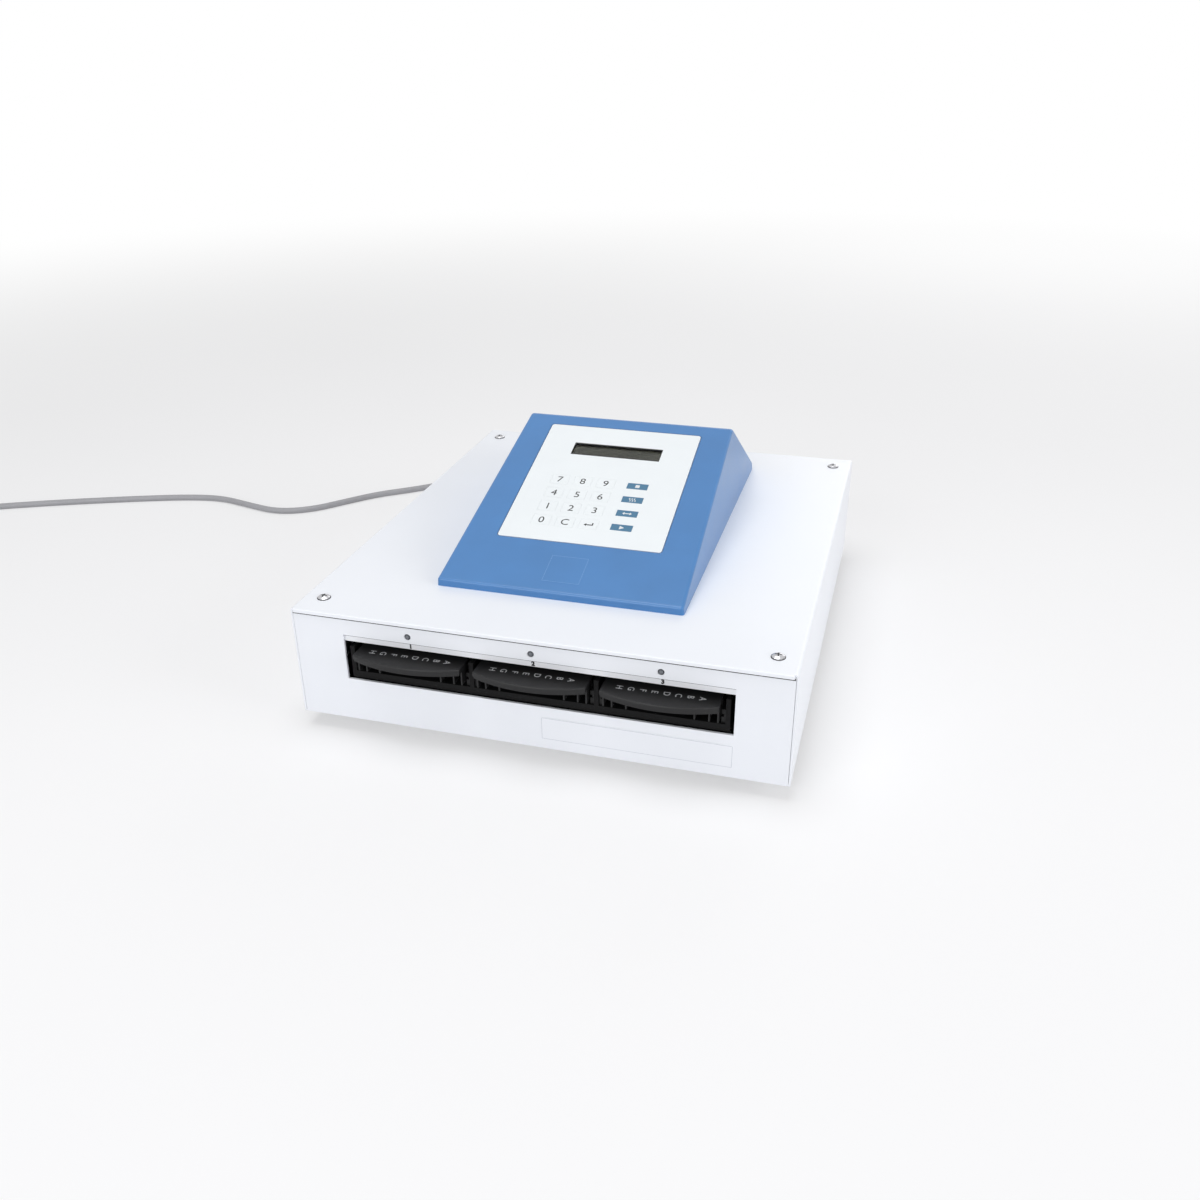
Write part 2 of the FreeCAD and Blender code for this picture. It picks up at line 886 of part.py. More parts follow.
bead_low = tray_low + d.bead_rise
bead_half = drawer_half + d.bead_reach
rail_inner = drawer_half + d.slide_gap
rail_slot = bead_half + d.slide_gap
rail_outer = (d.station_pitch - d.wall_thickness) / 2
rail_front = platform_front + d.rail_setback
rails = []
for x in station_centres:
    for side in (-1, 1):
        rail = Body()
        rail.along_y(
            [[
                (x + side * rail_inner, platform_top), (x + side * rail_outer, platform_top),
                (x + side * rail_outer, platform_top + d.rail_height),
                (x + side * rail_inner, platform_top + d.rail_height),
                (x + side * rail_inner, bead_low + d.bead_height + d.slide_gap),
                (x + side * rail_slot, bead_low + d.bead_height + d.slide_gap),
                (x + side * rail_slot, bead_low - d.slide_gap),
                (x + side * rail_inner, bead_low - d.slide_gap),
            ]],
            rail_front, d.wall_depth - d.rail_setback,
        )
        rails.append(rail.item)
sub_part("guide_rails", group(*rails))


def lip_plate(x, low, height, step, radius):
    """The drawer's handle lip, bowed at the front, or the thinner step below it."""
    half = drawer_half - step
    corner = FRONT - d.lip_corner_reach + step
    bow = d.lip_reach - d.lip_corner_reach
    bow_radius = (half * half + bow * bow) / (2 * bow)
    plate = Body()
    plate.along_z(
        [[
            (x - half, pocket_front), (x - half, corner), Arc(bow_radius, -1),
            (x + half, corner), (x + half, pocket_front),
        ]],
        low, height,
    )
    if radius is not None:
        plate.fillet(
            radius,
            lambda edge, middle: abs(middle.z - (low + height).value) < 1e-4 and middle.y < FRONT.value,
        )
    return plate.item


def drawer(x):
    """A sliding tray for one plate: lip, ribbed front, side walls with beads, ledges and back bar."""
    lip_top = window_low + d.lip_rise
    lip_low = lip_top - d.lip_thickness
    under_low = lip_low - d.lip_under
    front_face = pocket_front - d.front_wall
    pocket_back = pocket_front + pocket_length
    rib_low = tray_low + d.rib_clear
    rib_spots = [d.rib_inner, d.rib_outer, drawer_half - d.lip_step - d.rib_thickness / 2]
    pieces = [
        lip_plate(x, lip_low, d.lip_thickness, formula(0), d.lip_radius),
        lip_plate(x, under_low, d.lip_under, d.lip_step, None),
        box((x - drawer_half, front_face, tray_low),
            (2 * drawer_half, d.front_wall, lip_low - tray_low)),
        box((x - pocket_half, pocket_front, tray_low),
            (2 * pocket_half, d.ledge_width, d.ledge_thickness)),
        box((x - drawer_half, pocket_back, tray_low + d.tray_lift),
            (2 * drawer_half, d.tray_back, d.tray_wall_height - d.tray_lift)),
    ]
    for side in (-1, 1):
        wall_x = x + side * (pocket_half + d.tray_wall / 2)
        ledge_x = x + side * (pocket_half - d.ledge_width / 2)
        bead_x = x + side * (drawer_half + d.bead_reach / 2)
        pieces += [
            box((wall_x - d.tray_wall / 2, pocket_front, tray_low),
                (d.tray_wall, pocket_length + d.tray_back, d.tray_wall_height)),
            box((ledge_x - d.ledge_width / 2, pocket_front, tray_low),
                (d.ledge_width, pocket_length, d.ledge_thickness)),
            box((bead_x - d.bead_reach / 2, depth(d.bead_setback), bead_low),
                (d.bead_reach, pocket_back + d.tray_back - depth(d.bead_setback), d.bead_height)),
        ]
        for spot in rib_spots:
            pieces.append(box(
                (x + side * spot - d.rib_thickness / 2, FRONT - d.rib_reach, rib_low),
                (d.rib_thickness, front_face - FRONT + d.rib_reach, under_low - rib_low),
            ))
    return join(*pieces)


for number, x in enumerate(station_centres, 1):
    sub_part("drawer_%d" % number, drawer(x))

# Orbital drive: a belt-driven crank and three idlers carry the platform round

axles = [(x, y + d.throw) for x, y in pins]
journal_width = d.bearing_bore - 2 * d.running_gap
towers = []
tower_bearings = []
for number, (x, y) in enumerate(axles):
    height = d.main_tower_height if number == 0 else d.idler_tower_height
    bearings = 2 if number == 0 else 1
    bearing_low = FLOOR + height - bearings * d.bearing_width
    pillar = join(
        rod(d.tower_width, height, (x, y, FLOOR)),
        rod(d.tower_flange, d.tower_flange_height, (x, y, FLOOR)),
    )
    seat = rod(d.bearing_outer + 2 * d.press_gap, 3 * d.bearing_width, (x, y, bearing_low))
    relief = rod(d.tower_relief, 2 * height, (x, y, FLOOR - height))
    towers.append(cut(pillar, seat, relief))
    for step in range(bearings):
        ring_low = bearing_low + step * d.bearing_width
        tower_bearings.append(bearing(d.bearing_outer, d.bearing_width, x, y, ring_low))
sub_part("bearing_towers", group(*towers))
sub_part("tower_bearings", group(*tower_bearings))

crank_low = FLOOR + d.crank_level
crank_top = crank_low + d.crank_height
pin_top = platform_low + d.pin_bearing_width - d.running_gap


def crank(axle, pin, tower_height, bearings, extra=()):
    """A journal, a disc and a pin that stands off the journal's axis by the throw."""
    journal_low = FLOOR + tower_height - bearings * d.bearing_width
    return join(
        rod(journal_width, crank_low - journal_low, (*axle, journal_low)),
        rod(d.crank_width, d.crank_height, (*axle, crank_low)),
        rod(pin_width, pin_top - crank_top, (*pin, crank_top)),
        *extra,
    )


main_x, main_y = axles[0]
weight_span = 2 * d.counterweight_width
weight_round = rod(d.counterweight_width, d.crank_height, (main_x, main_y, crank_low))
weight_cut = box(
    (main_x - d.counterweight_width, main_y - weight_span + d.counterweight_offset, crank_low),
    (weight_span, weight_span, d.crank_height),
)
weight = cut(weight_round, weight_cut)
sub_part("drive_crank", crank(axles[0], pins[0], d.main_tower_height, 2, [weight]))
for number, place_name in enumerate(("front", "left", "right"), 1):
    sub_part("idler_crank_" + place_name, crank(axles[number], pins[number], d.idler_tower_height, 1))

pulley_low = FLOOR + d.pulley_level


def pulley(x, y, width):
    """A flat-belt pulley with a rim above and below the belt."""
    flange = d.pulley_flange
    return [
        rod(width, d.pulley_height, (x, y, pulley_low)),
        rod(width + 2 * d.pulley_rim, flange, (x, y, pulley_low)),
        rod(width + 2 * d.pulley_rim, flange, (x, y, pulley_low + d.pulley_height - flange)),
    ]


bore_width = journal_width + 2 * d.press_gap
bore = rod(bore_width, 3 * d.pulley_height, (main_x, main_y, pulley_low - d.pulley_height))
sub_part("crank_pulley", cut(join(*pulley(main_x, main_y, d.pulley_width)), bore))

motor_y = depth(d.motor_setback)
bracket_low = FLOOR + d.bracket_level
bracket_top = bracket_low + d.bracket_sheet
motor_hole_width = d.motor_shaft_width + 2 * d.running_gap
shaft_top = bracket_top + d.motor_shaft_entry
motor_shaft = rod(d.motor_shaft_width, shaft_top - pulley_low, (0, motor_y, pulley_low))
sub_part("motor_pulley", join(*pulley(0, motor_y, d.motor_pulley_width), motor_shaft))
sub_part("motor", cut(
    rod(d.motor_width, d.motor_height, (0, motor_y, bracket_top)),
    rod(motor_hole_width, 2 * d.motor_shaft_entry, (0, motor_y, bracket_top - d.motor_shaft_entry)),
))
bracket_half = d.bracket_width / 2
bracket = Body()
bracket.along_y(
    [[
        (-bracket_half, FLOOR), (d.bracket_sheet - bracket_half, FLOOR),
        (d.bracket_sheet - bracket_half, bracket_low), (bracket_half - d.bracket_sheet, bracket_low),
        (bracket_half - d.bracket_sheet, FLOOR), (bracket_half, FLOOR),
        (bracket_half, bracket_top), (-bracket_half, bracket_top),
    ]],
    motor_y - bracket_half, d.bracket_width,
)
shaft_way = rod(d.bracket_bore, 3 * d.bracket_sheet, (0, motor_y, bracket_low - d.bracket_sheet))
sub_part("motor_bracket", cut(bracket.item, shaft_way))


def belt_loop(offset):
    """The belt's run round both pulleys, an offset outside them, the crank's in two arcs."""
    large = d.pulley_width / 2 + offset
    small = d.motor_pulley_width / 2 + offset
    lean = arcsine((large - small) / (motor_y - main_y))
    out = cosine(lean)
    back = sine(lean)
    return [
        (-large * out, main_y + large * back), (-small * out, motor_y + small * back), Arc(small, 1),
        (small * out, motor_y + small * back), (large * out, main_y + large * back), Arc(large, 1),
        (0, main_y - large), Arc(large, 1),
    ]


belt = Body()
belt.along_z(
    [belt_loop(d.belt_gap + d.belt_thickness), belt_loop(d.belt_gap)],
    pulley_low + (d.pulley_height - d.belt_height) / 2, d.belt_height,
)
sub_part("drive_belt", belt)

# Electrics inside the case

board_low = FLOOR + d.standoff_height
board_x = outer_half - d.board_inset
board_y = depth(d.board_setback)
standoffs = [
    rod(d.standoff_width, d.standoff_height, (board_x + x, board_y + y, FLOOR))
    for x in mirrored(d.board_width / 2 - d.standoff_inset)
    for y in mirrored(d.board_depth / 2 - d.standoff_inset)
]
board_top = board_low + d.board_sheet
parts_on_board = [
    centred_box(board_x - d.board_width / 4, board_y, board_top,
                d.relay_width, d.relay_depth, d.relay_height),
    centred_box(board_x + d.board_width / 4, board_y - d.board_depth / 4, board_top,
                d.chip_width, d.chip_width, d.chip_height),
    centred_box(board_x, board_y + d.board_depth / 3, board_top,
                d.terminal_width, d.terminal_depth, d.terminal_depth),
    rod(d.capacitor_width, d.capacitor_height,
        (board_x + d.board_width / 4, board_y + d.board_depth / 8, board_top)),
]
sub_part("main_board", join(
    centred_box(board_x, board_y, board_low, d.board_width, d.board_depth, d.board_sheet),
    *standoffs, *parts_on_board,
))
supply_x = d.supply_inset - outer_half
supply_y = depth(d.supply_setback)
supply_slots = [
    centred_box(supply_x, supply_y + step * d.supply_slot_pitch, FLOOR + d.supply_height / 2,
                2 * d.supply_width, d.supply_slot, d.supply_height / 4)
    for step in range(-6, 7)
]
sub_part("power_supply", cut(
    centred_box(supply_x, supply_y, FLOOR, d.supply_width, d.supply_depth, d.supply_height),
    *supply_slots,
))

inlet_z = level(d.inlet_level)


def rear_block(x, width, height, start, length):
    """A block centred on a place in the rear panel's row of fittings, from a start to the rear."""
    return box((x - width / 2, start, inlet_z - height / 2), (width, length, height))


blades = [
    (d.inlet_x - d.blade_pitch, inlet_z - d.blade_drop / 2),
    (d.inlet_x, inlet_z + d.blade_drop / 2),
    (d.inlet_x + d.blade_pitch, inlet_z - d.blade_drop / 2),
]


def at_blades(gap, start, length):
    width = d.blade_thickness + 2 * gap
    height = d.blade_width + 2 * gap
    return [box((x - width / 2, start, z - height / 2), (width, length, height)) for x, z in blades]


inlet_face = REAR + d.inlet_flange_height
recess_floor = inlet_face - d.inlet_recess
recess_width = d.inlet_width - 2 * d.inlet_wall
recess_height = d.inlet_height - 2 * d.inlet_wall
socket = join(
    rear_block(d.inlet_x, d.inlet_width, d.inlet_height,
               REAR - d.inlet_depth, d.inlet_depth + d.inlet_flange_height),
    rear_block(d.inlet_x, d.inlet_width + 2 * d.inlet_flange, d.inlet_height + 2 * d.inlet_flange,
               REAR, d.inlet_flange_height),
)
hollow = rear_block(d.inlet_x, recess_width, recess_height, recess_floor, 2 * d.inlet_recess)
inlet_blades = at_blades(formula(0), recess_floor - d.inlet_wall, d.blade_length + d.inlet_wall)
sub_part("inlet_socket", join(cut(socket, hollow), *inlet_blades))

switch_face = REAR + d.switch_flange_height
frame_width = d.switch_width - 2 * d.switch_wall
frame_height = d.switch_height - 2 * d.switch_wall
pivot_y = REAR - d.rocker_pivot
housing = join(
    rear_block(d.switch_x, d.switch_width, d.switch_height,
               REAR - d.switch_depth, d.switch_depth + d.switch_flange_height),
    rear_block(d.switch_x, d.switch_width + 2 * d.switch_flange, d.switch_height + 2 * d.switch_flange,
               REAR, d.switch_flange_height),
)
cavity = rear_block(
    d.switch_x, frame_width, frame_height, REAR - d.switch_depth + 2 * d.switch_wall, 2 * d.switch_depth,
)
axle_room = rod(
    d.rocker_axle + 2 * d.running_gap, d.switch_width - d.switch_wall,
    (d.switch_x - (d.switch_width - d.switch_wall) / 2, pivot_y, inlet_z), "X",
)
sub_part("power_switch", cut(housing, cavity, axle_room))
rocker_half = frame_height / 2 - 2 * d.rocker_gap
rocker = Body()
rocker.along_x(
    [[
        (pivot_y - d.rocker_axle, inlet_z), (REAR - d.rocker_gap, inlet_z - rocker_half),
        (switch_face, inlet_z - rocker_half), (switch_face + d.rocker_gap, inlet_z),
        (REAR + d.rear_reach, inlet_z + rocker_half - d.rocker_taper),
        (REAR + d.switch_flange_height, inlet_z + rocker_half),
    ]],
    frame_width - 2 * d.rocker_gap,
)
place(rocker.item, (d.switch_x, 0, 0))
rocker_axle = rod(
    d.rocker_axle, d.switch_width - d.switch_wall - 2 * d.running_gap,
    (d.switch_x - (d.switch_width - d.switch_wall) / 2 + d.running_gap, pivot_y, inlet_z), "X",
)
sub_part("power_rocker", join(rocker.item, rocker_axle))

# Console with its keypad and display

slope = arctangent((d.console_height - d.console_lip) / d.console_rise)
lip_top = TOP + d.console_lip
drop = d.console_wall / cosine(slope)


def console_body(inset, fall):
    """The console's outer form, or the room inside it when set in from the outside."""
    front = console_front + inset
    back = console_back - inset
    ridge = console_front + d.console_rise
    gain = inset * (d.console_height - d.console_lip) / d.console_rise
    back_gain = inset * (d.console_height - d.console_lip) / d.console_tail
    base_edge = d.console_width / 2 - inset
    ridge_edge = d.console_ridge_width / 2 - inset
    form = Body()
    form.along_x(
        [[
            (front, 0), (front, d.console_lip + gain - fall), (ridge, d.console_height - fall),
            (back, d.console_lip + back_gain - fall), (back, 0),
        ]],
        2 * base_edge,
    )
    beyond = base_edge + d.console_wall
    form.pocket_along_y(
        [
            [(side * base_edge, 0), (side * beyond, 0),
             (side * beyond, d.console_height), (side * ridge_edge, d.console_height)]
            for side in (-1, 1)
        ],
        2 * d.case_depth,
    )
    place(form.item, (0, 0, TOP))
    return form


def slope_point(x, along, out):
    """A point of the console's slope, from its lip: across, up the slope and out of its face."""
    along = formula(along)
    out = formula(out)
    return (
        x,
        console_front + along * cosine(slope) - out * sine(slope),
        lip_top + along * sine(slope) + out * cosine(slope),
    )


def slope_box(x, along, out, width, length, height):
    """A block on the slope, centred across, from its lower edge and its lowest face."""
    corner = slope_point(formula(x) - formula(width) / 2, along, out)
    return box(corner, (width, length, height), V(1, 0, 0), slope)


def slope_rod(x, along, out, width, length):
    """A cylinder square to the slope, from its lowest face outward."""
    item = doc.addObject("Part::Cylinder", "Rod")
    bind(item, "Radius", formula(width) / 2)
    bind(item, "Height", length)
    return place(item, slope_point(x, along, out), V(1, 0, 0), slope)


def overlay_plate(gap, height):
    """The keypad's film with its rounded corners, or the room for it."""
    half = d.overlay_width / 2 + gap
    plate = Body()
    plate.along_z(
        [rounded_rectangle(-half, d.overlay_start - gap, half, d.overlay_start + d.overlay_length + gap,
                           d.overlay_corner + gap)],
        -d.overlay_sheet, height,
    )
    return place(plate.item, (0, console_front, lip_top), V(1, 0, 0), slope)


def on_side_or_lip(edge, middle):
    """The console's upper edges, but for those along its base."""
    return middle.z > 1 and (abs(middle.x) > 1 or abs(middle.z - d.console_lip.value) < 0.01)


outer = console_body(formula(0), formula(0))
outer.fillet(
    d.ridge_radius,
    lambda edge, middle: abs(middle.x) < 1 and middle.z > d.console_lip.value + 1,
)
outer.fillet(d.console_radius, on_side_or_lip)
room = console_body(d.console_wall, drop)
boss_rods = [rod(d.boss_width, d.console_height, (x, y, TOP)) for x, y in boss_spots]
boss_holes = [
    rod(thread_width, 2 * d.screw_length, (x, y, TOP - d.screw_length - d.cover_sheet))
    for x, y in boss_spots
]
bosses = shared(outer.item, join(*boss_rods))
shell = cut(outer.item, room.item)

keys = []
for row, names in enumerate(KEY_ROWS):
    along = d.key_first_row + row * d.key_pitch_row
    for column, name in enumerate(names):
        if column < 3:
            keys.append((name, d.key_first_x + column * d.key_pitch_x, along, d.key_width, d.key_length))
        else:
            keys.append((name, d.function_x, along, d.function_width, d.function_length))

stem_room = d.key_stem_width + 2 * d.key_stem_gap
pane_width = d.display_width + 2 * d.display_border
pane_length = d.display_length + 2 * d.display_border
pane_start = d.display_start - d.display_border
board_drop = d.panel_board_drop
overlay_end = d.overlay_start + d.overlay_length
board_bosses = [
    slope_rod(x, along, -board_drop, d.standoff_width, board_drop - d.console_wall / 2)
    for x in mirrored(d.panel_board_width / 2 - d.standoff_inset)
    for along in (d.overlay_start + d.standoff_inset, overlay_end - d.standoff_inset)
]
key_holes = [
    slope_rod(x, along, -2 * d.console_wall, stem_room, 3 * d.console_wall)
    for _, x, along, _, _ in keys
]
display_hole = slope_box(
    0, pane_start - d.pane_gap, -2 * d.console_wall,
    pane_width + 2 * d.pane_gap, pane_length + 2 * d.pane_gap, 3 * d.console_wall,
)
overlay_room = overlay_plate(d.overlay_gap, 4 * d.overlay_sheet)
sub_part("console_shell", cut(
    join(shell, bosses, *board_bosses), overlay_room, display_hole, *key_holes, *boss_holes,
))

key_windows = [
    slope_box(x, along - length / 2 - d.key_gap, -2 * d.overlay_sheet,
              width + 2 * d.key_gap, length + 2 * d.key_gap, 3 * d.overlay_sheet)
    for _, x, along, width, length in keys
]
display_window = slope_box(
    0, d.display_start, -2 * d.overlay_sheet, d.display_width, d.display_length, 3 * d.overlay_sheet,
)
film = overlay_plate(formula(0), d.overlay_sheet)
sub_part("keypad_overlay", cut(film, display_window, *key_windows))

stem_low = d.key_stroke_room - board_drop
for name, x, along, width, length in keys:
    cap = slope_box(x, along - length / 2, -d.key_sheet, width, length, d.key_sheet)
    stem = slope_rod(x, along, stem_low, d.key_stem_width, -d.key_sheet / 2 - stem_low)
    sub_part("key_" + name, join(cap, stem))

sub_part("display_pane", slope_box(
    0, pane_start, -d.overlay_sheet - d.pane_sheet, pane_width, pane_length, d.pane_sheet,
))
sub_part("display_module", join(
    slope_box(0, pane_start - d.module_border, -board_drop,
              pane_width + 2 * d.module_border, pane_length + 2 * d.module_border, d.module_sheet),
    slope_box(0, pane_start + d.pane_gap, -board_drop,
              pane_width - 2 * d.pane_gap, pane_length - 2 * d.pane_gap, board_drop - d.display_depth),
))
sub_part("keypad_board", slope_box(
    0, d.overlay_start, -board_drop - d.board_sheet,
    d.panel_board_width, d.overlay_length, d.board_sheet,
))

# Mains lead: connector, cord, the coil of its spare length, and the plug

connector_start = inlet_face + d.connector_stop
grip = Body()
grip.along_y(
    [rounded_rectangle(
        d.inlet_x - d.connector_width / 2, inlet_z - d.connector_height / 2,
        d.inlet_x + d.connector_width / 2, inlet_z + d.connector_height / 2, d.connector_radius,
    )],
    connector_start, d.connector_length,
)
nose_length = d.inlet_recess - d.connector_gap + d.connector_stop
nose = cut(
    rear_block(d.inlet_x, recess_width - 2 * d.connector_gap, recess_height - 2 * d.connector_gap,
               recess_floor + d.connector_gap, nose_length),
    *at_blades(d.connector_gap, recess_floor - d.connector_gap, d.blade_length + 2 * d.connector_gap),
)
relief_start = connector_start + d.connector_length
relief = taper(
    d.relief_width, d.relief_end_width, d.relief_length, (d.inlet_x, relief_start, inlet_z), "Y",
)
sub_part("cord_connector", join(nose, grip.item, relief))


def tube(path, width):
    """A round tube along a wire, made in one sweep."""
    start = path.OrderedEdges[0]
    first = start.valueAt(start.FirstParameter)
    aim = start.tangentAt(start.FirstParameter)
    ring = Part.Wire([Part.makeCircle(width / 2, first, aim)])
    solid = path.makePipeShell([ring], True, False)
    ratio = solid.Volume / (math.pi * width ** 2 / 4 * path.Length)
    print("tube length %.1f mm, volume / (section x length) = %.4f" % (path.Length, ratio))
    return solid


def bent_path(points):
    """Straight runs joined by tangent arcs that take up 0.45 of the shorter run at each turn."""
    edges = []
    radii = []
    start = points[0]
    for before, corner, after in zip(points, points[1:], points[2:]):
        come = corner - before
        go = after - corner
        reach = 0.45 * min(come.Length, go.Length)
        come.normalize()
        go.normalize()
        half = come.getAngle(go) / 2
        radius = reach / math.tan(half)
        radii.append(radius)
        first = corner - come * reach
        last = corner + go * reach
        inward = (go - come).normalize()
        middle = corner + inward * (radius / math.cos(half) - radius)
        edges.append(Part.makeLine(start, first))
        edges.append(Part.Arc(first, middle, last).toShape())
        start = last
    edges.append(Part.makeLine(start, points[-1]))
    print("bends of the lead, mm:", " ".join("%.0f" % radius for radius in radii))
    return Part.Wire(edges)


def tangent_arc(start, aim, end):
    """The arc that leaves a point in a direction and ends at another point."""
    chord = end - start
    side = chord - aim * chord.dot(aim)
    if side.Length < 1e-7:
        return Part.makeLine(start, end)
    side.normalize()
    radius = chord.dot(chord) / (2 * chord.dot(side))
    centre = start + side * radius
    outward = ((start + end) * 0.5 - centre).normalize()
    return Part.Arc(start, centre + outward * radius, end).toShape()


def biarc(start, aim, end, end_aim):
    """Two arcs that join two points and leave and arrive in the given directions."""
    span = end - start
    along = span.dot(aim + end_aim)
    bend = 2 * (1 - aim.dot(end_aim))
    if bend < 1e-9:
        reach = span.dot(span) / (4 * span.dot(end_aim))
    else:
        reach = (math.sqrt(along ** 2 + bend * span.dot(span)) - along) / bend
    middle = (start + aim * reach + end - end_aim * reach) * 0.5
    second = tangent_arc(end, end_aim * -1, middle)
    return [tangent_arc(start, aim, middle), second]


exit_point = V(d.inlet_x.value, (relief_start + d.relief_length).value, inlet_z.value)
lead_points = [exit_point] + [V(*point) for point in LEAD_POINTS]
cord_width = d.cord_width.value
lead_path = bent_path(lead_points)
lead = doc.addObject("Part::Feature", "Lead")
lead.Shape = tube(lead_path, cord_width)
sub_part("mains_cord", lead)

lead_end = lead_points[-1]
lead_aim = (lead_points[-1] - lead_points[-2]).normalize()
spacing = d.coil_spacing.value
turns_below = d.coil_turns_below.value
turns_in_all = turns_below + d.coil_turns_above.value
coil_start = lead_end + lead_aim * cord_width
outer_radius = d.coil_core_radius.value + spacing * turns_below
inward = V(-lead_aim.y, lead_aim.x, 0)
coil_centre = coil_start + inward * outer_radius


def coil_point(turn):
    """The lead's middle after a number of turns: in along the floor, up a layer, and out on top."""
    past = turn - turns_below
    radius = d.coil_core_radius.value + spacing * abs(past)
    climb = min(max(2 * past + 0.5, 0), 1)
    rise = spacing * climb ** 2 * (3 - 2 * climb)
    angle = 2 * math.pi * turn
    spoke = inward * -math.cos(angle) + lead_aim * math.sin(angle)
    return coil_centre + spoke * radius + V(0, 0, rise)


def coil_aim(turn):
    step = 0.001
    return (coil_point(turn + step) - coil_point(turn - step)).normalize()


quarters = [number / 4 for number in range(round(4 * turns_in_all) + 1)]
aims = [lead_aim] + [coil_aim(turn) for turn in quarters[1:]]
spots = [coil_point(turn) for turn in quarters]
tail_aim = V(aims[-1].x, aims[-1].y, 0).normalize()
plug_lift = d.plug_width.value / 2
tail_end = spots[-1] + tail_aim * d.coil_tail.value
tail_end.z = plug_lift
spots.append(tail_end)
aims.append(tail_aim)
coil_edges = [Part.makeLine(lead_end, coil_start)]
for start, aim, end, end_aim in zip(spots, aims, spots[1:], aims[1:]):
    coil_edges += biarc(start, aim, end, end_aim)
plug_start = tail_end + tail_aim * cord_width
coil_edges.append(Part.makeLine(tail_end, plug_start))
coil_path = Part.Wire(coil_edges)


def least_gap(path, width, spacing_of_points):
    """The least distance between stretches of a tube that aren't next to each other."""
    count = int(path.Length / spacing_of_points)
    points = path.discretize(Number=count)
    apart = int(3 * width / spacing_of_points)
    return min(
        one.distanceToPoint(other)
        for number, one in enumerate(points)
        for other in points[number + apart:]
    ) - width


print("least gap of the coil to itself: %.2f mm" % least_gap(coil_path, cord_width, 2.0))
coil = doc.addObject("Part::Feature", "Coil")
coil.Shape = tube(coil_path, cord_width)
sub_part("cord_coil", coil)
print("lead in all: %.0f mm" % (lead_path.Length + coil_path.Length))

plug = join(
    taper(d.relief_end_width, d.plug_neck_width, d.plug_neck_length, (0, 0, 0), "X"),
    rod(d.plug_width, d.plug_length, (d.plug_neck_length, 0, 0), "X"),
    *[
        rod(d.plug_pin_width, d.plug_length + d.plug_pin_length, (d.plug_neck_length, y, 0), "X")
        for y in mirrored(d.plug_pin_pitch / 2)
    ],
)
heading = math.degrees(math.atan2(tail_aim.y, tail_aim.x))
plug.Placement = FreeCAD.Placement(plug_start, FreeCAD.Rotation(V(0, 0, 1), heading))
sub_part("mains_plug", plug)

doc.recompute()
bad = []
for item in doc.Objects:
    if "Invalid" in item.State or "Error" in item.State:
        bad.append("%s %s" % (item.Label, item.State))
for item in sub_parts:
    if item.Shape.isNull() or not item.Shape.isValid():
        bad.append("%s has a bad shape" % item.Label)
if bad:
    raise RuntimeError("; ".join(bad))

os.makedirs("parts", exist_ok=True)
for item in sub_parts:
    item.Shape.exportStep("parts/%s.step" % item.Label)
whole = Part.makeCompound([item.Shape for item in sub_parts]).BoundBox
print("%d sub-parts, box %s" % (len(sub_parts), whole))
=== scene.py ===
"""Looks of the three-drawer incubator shaker: its finishes, signs, mains lead, floor, light and view.

The file is laid out as an add-on and run as a script. Every piece is in metres, in the same frame as
the solids: X to the right, Y to the rear, Z up, with the floor at zero.
"""

import json
import math

import bmesh
import bpy
from bpy.props import FloatProperty, FloatVectorProperty, IntProperty, PointerProperty
from mathutils import Matrix, Vector


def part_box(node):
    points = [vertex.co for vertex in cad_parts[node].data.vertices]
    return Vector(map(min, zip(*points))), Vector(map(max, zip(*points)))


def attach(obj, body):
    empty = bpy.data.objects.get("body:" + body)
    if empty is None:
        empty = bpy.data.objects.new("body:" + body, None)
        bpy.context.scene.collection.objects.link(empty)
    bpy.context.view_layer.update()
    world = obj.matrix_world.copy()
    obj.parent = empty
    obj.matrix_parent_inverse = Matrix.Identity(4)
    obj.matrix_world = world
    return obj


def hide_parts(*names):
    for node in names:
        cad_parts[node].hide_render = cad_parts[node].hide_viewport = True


bl_info = {
    "name": "Incubator Shaker Looks",
    "version": (1, 0, 0),
    "blender": (4, 5, 0),
    "location": "View3D > Sidebar > Shaker",
    "description": "Dresses the three-drawer incubator shaker and sets its stage",
    "category": "Object",
}

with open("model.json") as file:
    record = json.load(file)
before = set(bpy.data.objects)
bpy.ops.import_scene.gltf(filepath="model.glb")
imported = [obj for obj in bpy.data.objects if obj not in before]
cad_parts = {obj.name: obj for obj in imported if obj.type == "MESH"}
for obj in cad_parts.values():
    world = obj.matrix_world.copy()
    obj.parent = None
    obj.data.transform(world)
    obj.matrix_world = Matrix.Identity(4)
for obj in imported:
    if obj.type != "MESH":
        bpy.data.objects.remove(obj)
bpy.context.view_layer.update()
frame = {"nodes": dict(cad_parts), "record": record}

MM = 0.001
WHITE = (1, 1, 1)


def middle_of(node):
    low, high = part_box(node)
    return (low + high) / 2


# Landmarks of the solids
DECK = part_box("top_cover")[1].z
PANEL_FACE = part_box("front_panel")[0].y
REAR_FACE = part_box("rear_panel")[1].y
STRIP_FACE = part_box("number_strip")[0].y
STRIP_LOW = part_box("number_strip")[0].z
LIP_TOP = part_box("drawer_2")[1].z
CONSOLE_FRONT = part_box("console_shell")[0].y
CONSOLE_LIP = 6.5 * MM
CONSOLE_RISE = 69 * MM
CONSOLE_RUN = 230.6 * MM
DISPLAY_MIDDLE = 189.95 * MM
LAMP_LEVEL = middle_of("status_lamps").z
LAMP_RADIUS = 2.5 * MM
PLUG_RADIUS = middle_of("mains_plug").z
STATION_PITCH = middle_of("drawer_3").x
STATIONS = (("left", -STATION_PITCH), ("middle", 0.0), ("right", STATION_PITCH))

